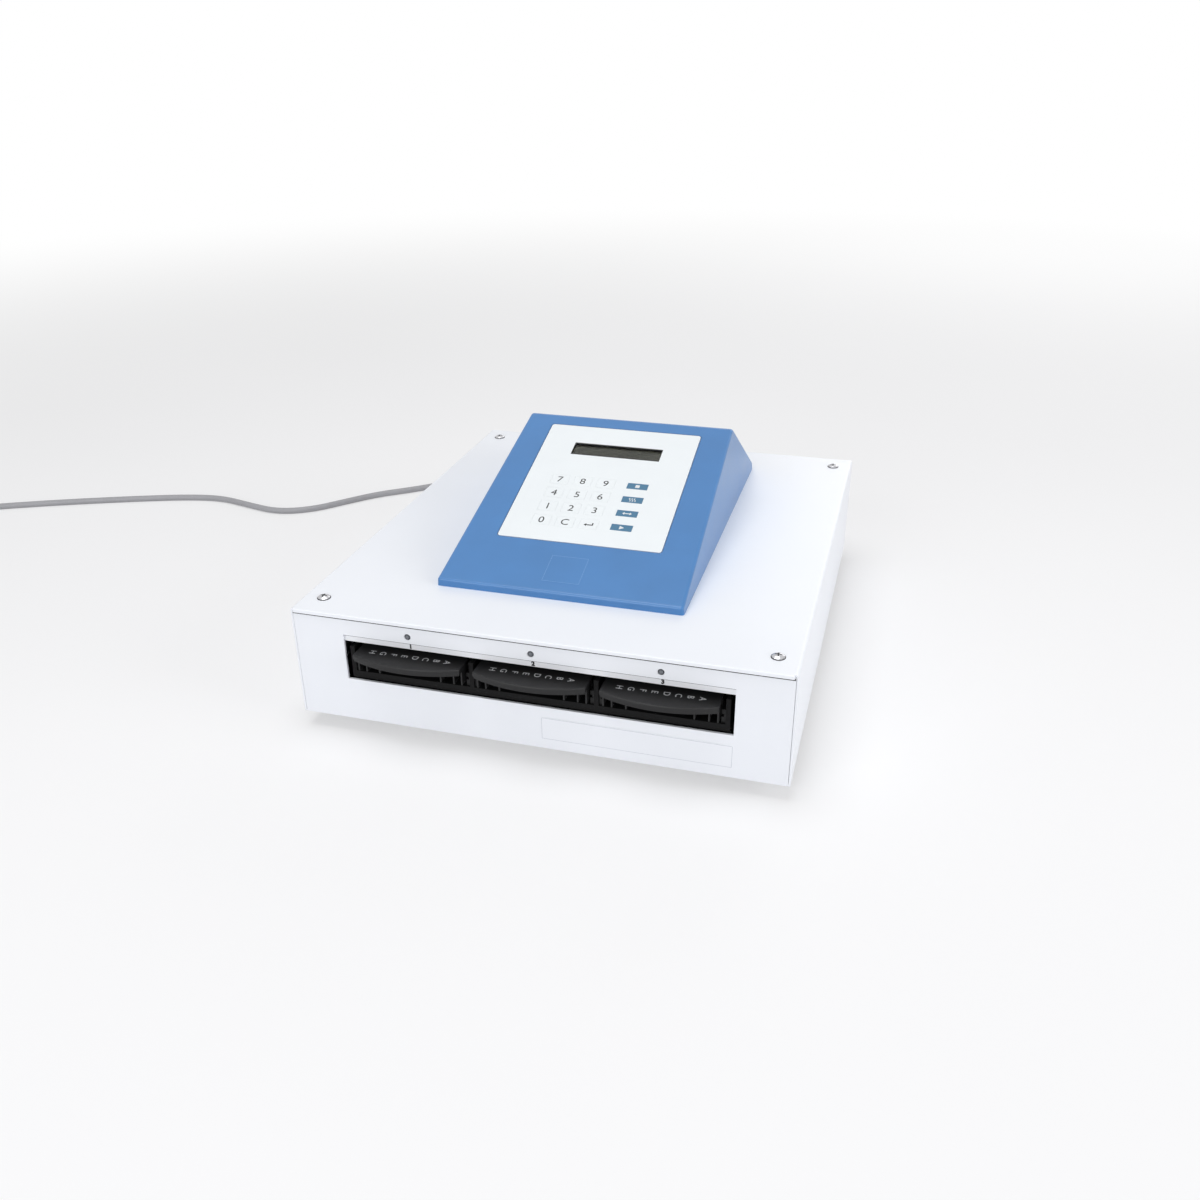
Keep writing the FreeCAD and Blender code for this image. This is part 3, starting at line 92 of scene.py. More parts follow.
# The console's sloping face: x across, y up the slope, z out of the face
SLOPE = math.atan2(CONSOLE_RISE, CONSOLE_RUN)
SLOPE_FRAME = Matrix.Translation((0, CONSOLE_FRONT, DECK + CONSOLE_LIP)) @ Matrix.Rotation(SLOPE, 4, "X")
# Upright faces that look to the front and to the rear
FACING_FRONT = Matrix.Rotation(math.pi / 2, 4, "X")
FACING_REAR = Matrix.Rotation(math.pi, 4, "Z") @ FACING_FRONT

# A print starts a little below the face that it lies on, and a printed line or a painted shadow line stands
# a little proud
SUNK = 0.02 * MM
PROUD = 0.03 * MM

# The lead's route from behind the inlet to its coil, as in the part's source
LEAD_EXIT = (-130 * MM, 290.95 * MM, 52 * MM)
LEAD_POINTS = [
    (-130, 318, 52), (-141, 350, 45), (-168, 374, 34), (-206, 381, 21), (-244, 366, 10),
    (-276, 338, 4.6), (-304, 308, 3.5), (-333, 283, 3.5), (-366, 259, 3.5), (-394, 227, 3.5),
    (-421, 195, 3.5), (-458, 178, 3.5), (-502, 188, 3.5), (-546, 199, 3.5), (-592, 190, 3.5),
    (-642, 172, 3.5), (-695, 151, 3.5), (-748, 128, 3.5), (-800, 103, 3.5), (-850, 77, 3.5),
]
POINTS_PER_TURN = 24


# Settings


def linear(red, green, blue):
    """A colour as a picture gives it, 0 to 255, as the light values that shaders take."""
    shares = [value / 255 for value in (red, green, blue)]
    return tuple(s / 12.92 if s <= 0.04045 else ((s + 0.055) / 1.055) ** 2.4 for s in shares)


def size(name, value, description):
    return FloatProperty(name=name, description=description, default=value, unit="LENGTH", precision=5)


def amount(name, value, description):
    return FloatProperty(name=name, description=description, default=value)


def power(name, value, description):
    return FloatProperty(name=name, description=description, default=value, unit="POWER")


def degrees(name, value, description):
    return FloatProperty(name=name, description=description, default=math.radians(value), subtype="ANGLE")


def colour(name, value, description):
    return FloatVectorProperty(
        name=name, description=description, default=value, subtype="COLOR", min=0, max=1, size=3,
    )


class CaseSettings(bpy.types.PropertyGroup):
    paint: colour("Paint", linear(240, 243, 249), "Powder coat of the case")
    strip: colour("Number strip", linear(240, 242, 246), "Satin strip behind the window's upper edge")
    plate_width: size("Plate width", 150 * MM, "Blank name plate on the front panel")
    plate_height: size("Plate height", 20 * MM, "Blank name plate on the front panel")
    plate_x: size("Plate place", 81.2 * MM, "Middle of the name plate, to the right of the case's middle")
    plate_z: size("Plate level", 32.5 * MM, "Middle of the name plate above the floor")
    film: size("Film", 0.25 * MM, "Thickness of the stuck-on plates")


class ConsoleSettings(bpy.types.PropertyGroup):
    plastic: colour("Plastic", linear(58, 120, 181), "Moulded enclosure of the console")
    film: colour("Film", linear(236, 241, 244), "Keypad film and digit keys")
    function_key: colour("Function keys", linear(66, 116, 148), "Printed ground of the function keys")
    ink: colour("Ink", linear(8, 8, 10), "Digits of the keypad")
    digit_height: size("Digit height", 7.6 * MM, "Height of the keypad's digits")
    badge_width: size("Badge width", 32 * MM, "Blank square below the keypad")
    badge_start: size("Badge start", 11.6 * MM, "Lower edge of the blank square, up the slope")
    cell_columns: IntProperty(name="Display columns", description="Character cells in a row", default=16)
    cell_rows: IntProperty(name="Display rows", description="Rows of character cells", default=2)


class StationSettings(bpy.types.PropertyGroup):
    drawer: colour("Drawers", linear(32, 32, 33), "Moulded drawers and their surroundings")
    number_height: size("Number height", 4.1 * MM, "Station numbers on the strip")
    letter_height: size("Letter height", 5 * MM, "Row letters on the drawers' lips")
    letter_pitch: size("Letter pitch", 9 * MM, "Distance between the rows of a plate")
    letter_setback: size("Letter setback", 0.7 * MM, "Row letters behind the front panel's face")


class LeadSettings(bpy.types.PropertyGroup):
    sheath: colour("Sheath", linear(160, 160, 164), "Sheath of the mains lead")
    width: size("Lead width", 7 * MM, "Diameter of the lead")
    core_radius: size("Coil core", 31 * MM, "Radius of the coil's innermost turn")
    spacing: size("Turn spacing", 7.6 * MM, "Distance between neighbouring turns and layers")
    turns_below: amount("Turns below", 2.25, "Turns of the lower layer")
    turns_above: amount("Turns above", 2, "Turns of the upper layer")
    tail: size("Tail", 60 * MM, "Straight stretch from the coil to the plug")
    strap_width: size("Strap width", 10 * MM, "Width of the strap that holds the coil")
    strap_thickness: size("Strap thickness", 1.1 * MM, "Thickness of the strap that holds the coil")


class StageSettings(bpy.types.PropertyGroup):
    floor: colour("Floor", linear(246, 246, 248), "Paper floor")
    fade_start: size("Fade start", 0.7, "Where the floor begins to turn white, from the machine's middle")
    fade_end: size("Fade end", 2.8, "Where the floor is plain white, from the machine's middle")
    sky: amount("Sky", 0.33, "Even light from all around")
    key_power: power("Key lamp", 20, "Soft lamp overhead")
    fill_power: power("Fill lamp", 17, "Soft lamp to the right")
    front_power: power("Front lamp", 15, "Soft lamp in front")
    back_power: power("Back lamp", 7, "Soft lamp behind")
    camera_spot: FloatVectorProperty(
        name="Camera place", description="Where the camera stands", subtype="XYZ", unit="LENGTH", size=3,
        default=(0.25495, -0.90936, 0.52098),
    )
    camera_azimuth: degrees("Camera azimuth", 16.14, "How far the camera stands round to the right")
    camera_elevation: degrees("Camera elevation", 27.23, "How far the camera looks down")
    camera_roll: degrees("Camera roll", -0.53, "How far the camera is tilted")
    camera_lens: amount("Lens", 33.895, "Focal length in millimetres")


# Node trees


class NodeTree:
    """A node tree being put together."""

    def __init__(self, tree):
        self.tree = tree

    def feed(self, socket, value):
        """Gives a socket a value or another node's output."""
        if isinstance(value, bpy.types.NodeSocket):
            self.tree.links.new(value, socket)
        elif socket.type == "RGBA":
            socket.default_value = (*value, 1)
        else:
            socket.default_value = value

    def node(self, kind, sockets=None, **settings):
        """Adds a node, whose sockets go by name or number."""
        made = self.tree.nodes.new(kind)
        for name, value in settings.items():
            setattr(made, name, value)
        for socket, value in (sockets or {}).items():
            self.feed(made.inputs[socket], value)
        return made

    def first(self, kind, sockets=None, **settings):
        """Adds a node and gives its first output."""
        return self.node(kind, sockets, **settings).outputs[0]

    def math(self, operation, *values):
        return self.first("ShaderNodeMath", dict(enumerate(values)), operation=operation)


class ShaderTree(NodeTree):
    """The nodes of a surface or of the sky."""

    def spot(self, stretch=(1, 1, 1)):
        """The piece's own coordinates, stretched."""
        own = self.node("ShaderNodeTexCoord").outputs["Object"]
        return self.first("ShaderNodeMapping", {"Vector": own, "Scale": stretch})

    def noise(self, scale, detail=2, where=None):
        sockets = {"Scale": scale, "Detail": detail, "Vector": where or self.spot()}
        return self.first("ShaderNodeTexNoise", sockets)

    def ramp(self, factor, *stops):
        """Colours along a factor, as pairs of a place and a colour."""
        node = self.node("ShaderNodeValToRGB", {0: factor})
        points = node.color_ramp.elements
        while len(points) < len(stops):
            points.new(0.5)
        for point, (place, shade) in zip(points, stops):
            point.position = place
            point.color = (*shade, 1)
        return node.outputs["Color"]

    def straight_look(self):
        """1 for what the camera, bright surfaces and glass see, and 0 for light that falls on things."""
        path = self.node("ShaderNodeLightPath").outputs
        seen = self.math("MAXIMUM", path["Is Camera Ray"], path["Is Glossy Ray"])
        return self.math("MAXIMUM", seen, path["Is Transmission Ray"])

    def close(self, kind, share, first, second):
        """Mixes two shaders by a share and ends the tree in them."""
        mix = self.first("ShaderNodeMixShader", {0: share, 1: first, 2: second})
        self.node(kind, {"Surface": mix})


class Finish(ShaderTree):
    """A material being put together, and the shader that its nodes feed."""

    def __init__(self, name, **sockets):
        material = bpy.data.materials.new(name + "_finish")
        material.use_nodes = True
        super().__init__(material.node_tree)
        self.shader = self.tree.nodes["Principled BSDF"]
        for socket, value in sockets.items():
            self.set(socket.replace("_", " "), value)

    def set(self, socket, value):
        """Gives a socket of the shader a value or another node's output."""
        self.feed(self.shader.inputs[socket], value)

    def tint(self, tone, factor, *stops):
        """Colours the surface along a factor, by pairs of a place and a share of the tone."""
        shades = [(place, shade_of(tone, share)) for place, share in stops]
        self.set("Base Color", self.ramp(factor, *shades))

    def roughen(self, factor, low, high):
        """Spreads the roughness between two levels along a factor of 0 to 1."""
        sockets = {"Value": factor, "To Min": low, "To Max": high}
        self.set("Roughness", self.first("ShaderNodeMapRange", sockets))

    def relief(self, height, depth):
        """Raises the surface by a height of 0 to 1, to a depth in metres."""
        self.set("Normal", self.first("ShaderNodeBump", {"Distance": depth, "Height": height}))


class GeometryTree(NodeTree):
    """A geometry tree being put together, with its named inputs."""

    def __init__(self, name, **inputs):
        super().__init__(bpy.data.node_groups.new(name, "GeometryNodeTree"))
        sockets = self.tree.interface
        sockets.new_socket("Geometry", in_out="INPUT", socket_type="NodeSocketGeometry")
        sockets.new_socket("Geometry", in_out="OUTPUT", socket_type="NodeSocketGeometry")
        for label, kind in inputs.items():
            sockets.new_socket(label, in_out="INPUT", socket_type="NodeSocket" + kind)
        self.source = self.node("NodeGroupInput").outputs

    def end(self, instances):
        """Makes the instances real, gives them their finish and hands them out."""
        real = self.first("GeometryNodeRealizeInstances", {"Geometry": instances})
        finish = self.source["Finish"]
        dressed = self.first("GeometryNodeSetMaterial", {"Geometry": real, "Material": finish})
        self.node("NodeGroupOutput", {"Geometry": dressed})
        return self.tree


# Finishes


def shade_of(tone, share):
    return tuple(min(value * share, 1) for value in tone)


def drifting(finish, tone, scale, spread):
    """Lets a colour drift a little from patch to patch."""
    patches = finish.noise(scale, detail=3)
    finish.tint(tone, patches, (0.3, 1 - spread), (0.7, 1 + spread))
    return patches


def moulded(name, tone, roughness, grain, depth, **sockets):
    """Moulded plastic with a fine spark-eroded grain."""
    finish = Finish(name, **sockets)
    patches = drifting(finish, tone, scale=25, spread=0.04)
    finish.roughen(patches, roughness - 0.05, roughness + 0.05)
    finish.relief(finish.noise(grain, detail=3), depth)


def metal(name, tone, roughness, stretch=(1, 1, 1), grain=900, depth=0.01 * MM):
    """Bare metal with drawn or ground marks."""
    finish = Finish(name, Metallic=1.0)
    marks = finish.noise(grain, detail=4, where=finish.spot(stretch))
    finish.tint(tone, marks, (0.25, 0.86), (0.75, 1.06))
    finish.roughen(marks, roughness - 0.08, roughness + 0.1)
    finish.relief(marks, depth)


def powder_coat(name, tone):
    """Baked powder coat with a faint orange peel and a fine speckle in its gloss."""
    finish = Finish(name, Coat_Weight=0.12, Coat_Roughness=0.2)
    patches = drifting(finish, tone, scale=9, spread=0.012)
    peel = finish.noise(scale=650)
    speckle = finish.noise(scale=2600)
    finish.roughen(finish.math("MULTIPLY", patches, speckle), 0.36, 0.5)
    finish.relief(finish.math("ADD", peel, finish.math("MULTIPLY", speckle, 0.35)), 0.035 * MM)


def keypad_film(name, tone):
    """Printed polyester film with a fine velvet grain."""
    finish = Finish(name)
    patches = drifting(finish, tone, scale=30, spread=0.01)
    finish.roughen(patches, 0.3, 0.38)
    finish.relief(finish.noise(scale=5200), 0.012 * MM)


def display_glass(name, tone):
    """A clear pane with a faint smear in its gloss."""
    finish = Finish(name, Transmission_Weight=1.0, IOR=1.2, Base_Color=tone)
    smear = finish.noise(scale=60, detail=3)
    finish.roughen(smear, 0.02, 0.09)


def display_ground(name, tone):
    """The dull olive ground of an unlit display, with a faint upright ripple."""
    finish = Finish(name, IOR=1.5)
    ripple = finish.noise(scale=160, where=finish.spot(stretch=(6, 0.4, 1)))
    finish.tint(tone, ripple, (0.3, 0.88), (0.7, 1.1))
    finish.roughen(ripple, 0.3, 0.4)


def smoky_lens(name, middle, ring, rim):
    """A diffusing lamp lens, paler in the middle and dark at its rim."""
    finish = Finish(name, IOR=1.45)
    place = finish.node("ShaderNodeSeparateXYZ", {0: finish.spot()}).outputs
    across = finish.math("WRAP", place["X"], STATION_PITCH / 2, -STATION_PITCH / 2)
    upward = finish.math("SUBTRACT", place["Z"], LAMP_LEVEL)
    squares = [finish.math("MULTIPLY", offset, offset) for offset in (across, upward)]
    out = finish.math("POWER", finish.math("ADD", *squares), 0.5)
    share = finish.math("DIVIDE", out, LAMP_RADIUS)
    ridges = finish.node("ShaderNodeTexWave", {"Scale": 220, "Vector": finish.spot()}).outputs["Fac"]
    wobble = finish.math("ADD", finish.math("MULTIPLY", ridges, 0.12), share)
    finish.set("Base Color", finish.ramp(wobble, (0.0, middle), (0.62, ring), (0.9, rim)))
    finish.roughen(ridges, 0.4, 0.5)
    finish.relief(ridges, 0.03 * MM)


def spangled_zinc(name, tone):
    """Galvanised sheet, whose crystals each have a tint of their own."""
    finish = Finish(name, Metallic=1.0)
    flakes = finish.node("ShaderNodeTexVoronoi", {"Scale": 160, "Vector": finish.spot()})
    tint = finish.first("ShaderNodeSeparateColor", {0: flakes.outputs["Color"]})
    finish.tint(tone, tint, (0.0, 0.85), (1.0, 1.1))
    finish.roughen(tint, 0.32, 0.5)
    finish.relief(finish.noise(scale=1500), 0.01 * MM)


def circuit_board(name, tone):
    """Solder mask over a net of traces."""
    finish = Finish(name, Coat_Weight=0.3)
    sockets = {"Scale": 55, "Vector": finish.spot(), "Mortar Size": 0.03}
    traces = finish.node("ShaderNodeTexBrick", sockets).outputs["Fac"]
    finish.tint(tone, traces, (0.0, 1), (1.0, 1.7))
    finish.roughen(finish.noise(scale=200), 0.3, 0.45)
    finish.relief(traces, 0.03 * MM)


def heater_foil(name, tone):
    """Amber film over the bands of an etched foil."""
    finish = Finish(name, Coat_Weight=0.5)
    bands = finish.node("ShaderNodeTexWave", {"Scale": 60, "Vector": finish.spot()}).outputs["Fac"]
    finish.tint(tone, bands, (0.4, 0.7), (0.6, 1.25))
    finish.roughen(bands, 0.25, 0.4)


def printed_ink(name, tone):
    """Matt ink that covers a little unevenly."""
    finish = Finish(name)
    cover = drifting(finish, tone, scale=900, spread=0.06)
    finish.roughen(cover, 0.4, 0.55)


def woven_strap(name, tone):
    """Hook-and-loop webbing with a close crosswise weave."""
    finish = Finish(name, Sheen_Weight=0.3)
    threads = finish.node("ShaderNodeTexVoronoi", {"Scale": 1500, "Vector": finish.spot()})
    weave = threads.outputs["Distance"]
    finish.tint(tone, weave, (0.0, 1.3), (0.7, 0.6))
    finish.roughen(weave, 0.7, 0.9)
    finish.relief(weave, 0.15 * MM)


INKS = {
    "black_ink": (14, 14, 16),
    "white_ink": (226, 228, 230),
    "letter_ink": (196, 198, 200),
    # Painted shadow grey for the band along the number strip's upper edge
    "grey_ink": (150, 152, 158),
    "line_ink": (196, 201, 210),
    "blue_line": (116, 160, 208),
    # Painted shade colour for the gap round the keypad film
    "film_line": (44, 82, 128),
    "cell_ink": (38, 38, 30),
}


def make_finishes(scene):
    """Makes every finish, named for the record's slot that it stands for, and the inks."""
    case = scene.shaker_case
    console = scene.shaker_console
    drawer = tuple(scene.shaker_station.drawer)
    sheath = tuple(scene.shaker_lead.sheath)

    powder_coat("white_paint", tuple(case.paint))
    powder_coat("strip_white", tuple(case.strip))
    keypad_film("film_white", tuple(console.film))
    keypad_film("key_white", tuple(console.film))
    keypad_film("key_blue", tuple(console.function_key))
    display_glass("pane_clear", (0.86, 0.88, 0.85))
    display_ground("display_grey", linear(38, 38, 27))
    smoky_lens("lamp_lens", linear(112, 116, 122), linear(104, 108, 114), linear(62, 65, 71))
    spangled_zinc("zinc_steel", linear(196, 198, 201))
    circuit_board("board_green", linear(38, 92, 58))
    heater_foil("heater_amber", linear(186, 122, 46))
    woven_strap("strap_black", linear(52, 52, 55))

    metal("screw_steel", linear(196, 196, 199), roughness=0.26, grain=1600)
    metal("cast_alloy", linear(186, 188, 190), roughness=0.4, grain=700, depth=0.03 * MM)
    metal("bearing_steel", linear(200, 200, 204), roughness=0.22, stretch=(1, 1, 8))
    metal("motor_grey", linear(150, 150, 154), roughness=0.42, stretch=(1, 1, 0.1))
    metal("pin_steel", linear(205, 204, 200), roughness=0.24)

    moulded("rubber_black", linear(34, 34, 35), roughness=0.75, grain=1400, depth=0.06 * MM)
    moulded("belt_black", linear(36, 36, 38), roughness=0.7, grain=1800, depth=0.05 * MM)
    moulded("supply_case", linear(66, 66, 70), roughness=0.5, grain=1500, depth=0.04 * MM)
    moulded("fitting_black", linear(38, 38, 40), roughness=0.42, grain=2200, depth=0.03 * MM)
    moulded("cord_grey", sheath, roughness=0.5, grain=1300, depth=0.03 * MM)
    moulded("plug_grey", shade_of(sheath, 0.85), roughness=0.5, grain=1900, depth=0.04 * MM)
    moulded(
        "console_blue", tuple(console.plastic), roughness=0.34, grain=2400, depth=0.03 * MM,
        Coat_Weight=0.3, Coat_Roughness=0.3,
    )
    # Half the drawers' tone: partly the platform's own deeper black, partly painted shade for the sill deep
    # inside the window
    moulded(
        "platform_black", shade_of(drawer, 0.5), roughness=0.55, grain=1700, depth=0.03 * MM,
        Specular_IOR_Level=0.12,
    )
    moulded("rail_plastic", drawer, roughness=0.55, grain=1900, depth=0.03 * MM, Specular_IOR_Level=0.3)
    moulded("drawer_black", drawer, roughness=0.45, grain=2300, depth=0.035 * MM, Specular_IOR_Level=0.3)

    printed_ink("key_ink", tuple(console.ink))
    for name, tone in INKS.items():
        printed_ink(name, linear(*tone))


def finish_named(name):
    return bpy.data.materials[name + "_finish"]


class SHAKER_OT_finishes(bpy.types.Operator):
    """Makes every finish and gives each solid its own"""

    bl_idname = "shaker.finishes"
    bl_label = "Finishes"

    def execute(self, context):
        make_finishes(context.scene)
        for row in frame["record"]["subparts"]:
            mesh = frame["nodes"][row["node"]].data
            mesh.materials.clear()
            mesh.materials.append(finish_named(row["material_slot"]))
        return {"FINISHED"}


# Mesh tools

MERGE_DISTANCE = 1e-7
LETTER_MERGE_DISTANCE = 1e-5
SMOOTH_ANGLE = math.radians(35)


def in_metres(rows):
    """Rows of sizes in millimetres, such as points or sections, in metres."""
    return [tuple(value * MM for value in row) for row in rows]


def close_seams(bm):
    """Merges the points that meet, and turns the faces outwards."""
    bmesh.ops.remove_doubles(bm, verts=bm.verts, dist=MERGE_DISTANCE)
    bmesh.ops.recalc_face_normals(bm, faces=bm.faces)


def mesh_of(bm, name="part"):
    mesh = bpy.data.meshes.new(name)
    bm.to_mesh(mesh)
    bm.free()
    return mesh


def add_piece(name, bm, body, finishes):
    """Makes a mesh a piece that rides on a body. Its place is in its mesh."""
    close_seams(bm)
    mesh = mesh_of(bm, name)
    for finish in finishes:
        mesh.materials.append(finish_named(finish))
    mesh.polygons.foreach_set("use_smooth", [True] * len(mesh.polygons))
    mesh.set_sharp_from_angle(angle=SMOOTH_ANGLE)
    piece = bpy.data.objects.new(name, mesh)
    bpy.context.scene.collection.objects.link(piece)
    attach(piece, body)
    return piece


def stamp(bm, mesh, matrix, finish_number=0):
    """Adds a placed copy of a mesh, and drops the mesh."""
    mesh.transform(matrix)
    before = len(bm.faces)
    bm.from_mesh(mesh)
    bm.faces.ensure_lookup_table()
    for face in bm.faces[before:]:
        face.material_index = finish_number
    bpy.data.meshes.remove(mesh)


def circle(steps):
    """The cosine and the sine of even steps round a full turn."""
    angles = [2 * math.pi * step / steps for step in range(steps)]
    return [(math.cos(angle), math.sin(angle)) for angle in angles]


def rounded_outline(width, height, radius, steps=6):
    """The corners of a rectangle about the origin, rounded by an arc each."""
    points = []
    for number, (x, y) in enumerate(((1, 1), (-1, 1), (-1, -1), (1, -1))):
        for step in range(steps + 1):
            angle = math.pi / 2 * (number + step / steps)
            points.append((
                x * (width / 2 - radius) + radius * math.cos(angle),
                y * (height / 2 - radius) + radius * math.sin(angle),
            ))
    return points


def skin(bm, rings, capped=True, finish_number=0):
    """Joins rings of points, and where capped closes the first and the last with a face."""
    rows = [[bm.verts.new(point) for point in ring] for ring in rings]
    count = len(rows[0])
    faces = []
    for row, after in zip(rows, rows[1:]):
        for number in range(count):
            beside = (number + 1) % count
            faces.append(bm.faces.new((row[number], row[beside], after[beside], after[number])))
    if capped:
        faces.append(bm.faces.new(list(reversed(rows[0]))))
        faces.append(bm.faces.new(rows[-1]))
    for face in faces:
        face.material_index = finish_number


def prism(points, low, high):
    """A flat outline given thickness from low to high, as a mesh facing +Z."""
    bm = bmesh.new()
    skin(bm, [[(x, y, level) for x, y in points] for level in (low, high)])
    return mesh_of(bm)


def hoop(bm, sections, finish_number=0):
    """Joins sections all the way round."""
    skin(bm, sections + sections[:1], capped=False, finish_number=finish_number)


def band(bm, outer, inner, matrix, foot, top, inner_foot, finish_number=0):
    """A closed band between two outlines, whose inner edge has a foot of its own."""
    sections = []
    for out, into in zip(outer, inner):
        section = ((*out, foot), (*out, top), (*into, top), (*into, inner_foot))
        sections.append([matrix @ Vector(point) for point in section])
    hoop(bm, sections, finish_number)


def turned(bm, profile, steps=48):
    """A turned form about Y from (radius, y) points."""
    skin(bm, [[(radius * c, y, radius * s) for c, s in circle(steps)] for radius, y in profile])


def lettering(words, height, bold=0.0, thickness=0.06 * MM):
    """A sign as a flat mesh facing +Z, centred on its own middle."""
    curve = bpy.data.curves.new("lettering", "FONT")
    curve.body = words
    curve.offset = bold
    curve.resolution_u = 5
    carrier = bpy.data.objects.new("lettering", curve)
    bpy.context.scene.collection.objects.link(carrier)
    graph = bpy.context.evaluated_depsgraph_get()
    mesh = bpy.data.meshes.new_from_object(carrier.evaluated_get(graph))
    bpy.data.objects.remove(carrier)
    bpy.data.curves.remove(curve)
    bm = bmesh.new()
    bm.from_mesh(mesh)
    bpy.data.meshes.remove(mesh)
    bmesh.ops.remove_doubles(bm, verts=bm.verts, dist=LETTER_MERGE_DISTANCE)
    across = [vertex.co.x for vertex in bm.verts]
    along = [vertex.co.y for vertex in bm.verts]
    middle = Vector(((min(across) + max(across)) / 2, (min(along) + max(along)) / 2, 0))
    scale = height / (max(along) - min(along))
    bmesh.ops.translate(bm, verts=bm.verts, vec=-middle)
    bmesh.ops.scale(bm, verts=bm.verts, vec=(scale, scale, scale))
    extruded = bmesh.ops.extrude_face_region(bm, geom=bm.faces[:])
    raised = [item for item in extruded["geom"] if isinstance(item, bmesh.types.BMVert)]
    bmesh.ops.translate(bm, verts=raised, vec=(0, 0, thickness))
    return mesh_of(bm)


# Geometry trees for what repeats


def grown(tree, spots=((0, 0, 0),), **values):
    """Runs a geometry tree on a few points and returns the plain mesh that it makes."""
    start = bpy.data.meshes.new("spots")
    start.from_pydata(spots, [], [])
    carrier = bpy.data.objects.new("spots", start)
    bpy.context.scene.collection.objects.link(carrier)
    modifier = carrier.modifiers.new("grow", "NODES")
    modifier.node_group = tree
    for socket in tree.interface.items_tree:
        if socket.in_out == "INPUT" and socket.name in values:
            modifier[socket.identifier] = values[socket.name]
    graph = bpy.context.evaluated_depsgraph_get()
    mesh = bpy.data.meshes.new_from_object(carrier.evaluated_get(graph))
    carrier.modifiers.clear()
    bpy.data.objects.remove(carrier)
    bpy.data.meshes.remove(start)
    return mesh


def rib_tree():
    """Round ribs in a row along Y that grow or shrink from the first to the last."""
    made = GeometryTree(
        "strain_relief_ribs", Ribs="Int", Spacing="Float", First="Float", Last="Float", Thickness="Float",
        Finish="Material",
    )
    source = made.source
    step = made.first("ShaderNodeCombineXYZ", {"Y": source["Spacing"]})
    line = made.first("GeometryNodeMeshLine", {"Count": source["Ribs"], "Offset": step})
    half = made.math("MULTIPLY", source["Thickness"], 0.5)
    ring_radius = made.math("SUBTRACT", source["First"], half)
    ring = made.first("GeometryNodeCurvePrimitiveCircle", {"Resolution": 40, "Radius": ring_radius})
    bead = made.first("GeometryNodeCurvePrimitiveCircle", {"Resolution": 10, "Radius": half})
    rib = made.first("GeometryNodeCurveToMesh", {"Curve": ring, "Profile Curve": bead})
    index = made.first("GeometryNodeInputIndex")
    share = made.math("DIVIDE", index, made.math("SUBTRACT", source["Ribs"], 1))
    growth = made.math("SUBTRACT", made.math("DIVIDE", source["Last"], source["First"]), 1)
    scale = made.math("ADD", made.math("MULTIPLY", share, growth), 1)
    return made.end(made.first("GeometryNodeInstanceOnPoints", {
        "Points": line, "Instance": rib, "Rotation": (math.pi / 2, 0, 0), "Scale": scale,
    }))


def set_out_tree():
    """A unit piece set on every point."""
    made = GeometryTree("set_out", Unit="Object", Finish="Material")
    unit = made.node("GeometryNodeObjectInfo", {"Object": made.source["Unit"]}).outputs["Geometry"]
    points = made.source["Geometry"]
    return made.end(made.first("GeometryNodeInstanceOnPoints", {"Points": points, "Instance": unit}))


def cell_tree():
    """A grid of flat cells in the XY plane, about the origin."""
    made = GeometryTree(
        "display_cells", Columns="Int", Rows="Int", Width="Float", Height="Float", Gap="Float",
        Thickness="Float", Finish="Material",
    )
    source = made.source

    def span(count, extent):
        pitch = made.math("ADD", source[extent], source["Gap"])
        return made.math("MULTIPLY", made.math("SUBTRACT", source[count], 1), pitch)

    grid = made.first("GeometryNodeMeshGrid", {
        "Size X": span("Columns", "Width"), "Size Y": span("Rows", "Height"),
        "Vertices X": source["Columns"], "Vertices Y": source["Rows"],
    })
    extents = made.first("ShaderNodeCombineXYZ", {
        "X": source["Width"], "Y": source["Height"], "Z": source["Thickness"],
    })
    cell = made.first("GeometryNodeMeshCube", {"Size": extents})
    return made.end(made.first("GeometryNodeInstanceOnPoints", {"Points": grid, "Instance": cell}))


def at_corners(bm, box, inset, level, finish):
    """A unit form set near the four corners of a box, as one mesh."""
    close_seams(bm)
    form = mesh_of(bm)
    unit = bpy.data.objects.new("unit", form)
    bpy.context.scene.collection.objects.link(unit)
    low, high = box
    across = (low.x + inset, high.x - inset)
    along = (low.y + inset, high.y - inset)
    spots = [(x, y, level) for x in across for y in along]
    mesh = grown(set_out_tree(), spots, Unit=unit, Finish=finish_named(finish))
    bpy.data.objects.remove(unit)
    bpy.data.meshes.remove(form)
    whole = bmesh.new()
    stamp(whole, mesh, Matrix.Identity(4))
    return whole


# The mains lead


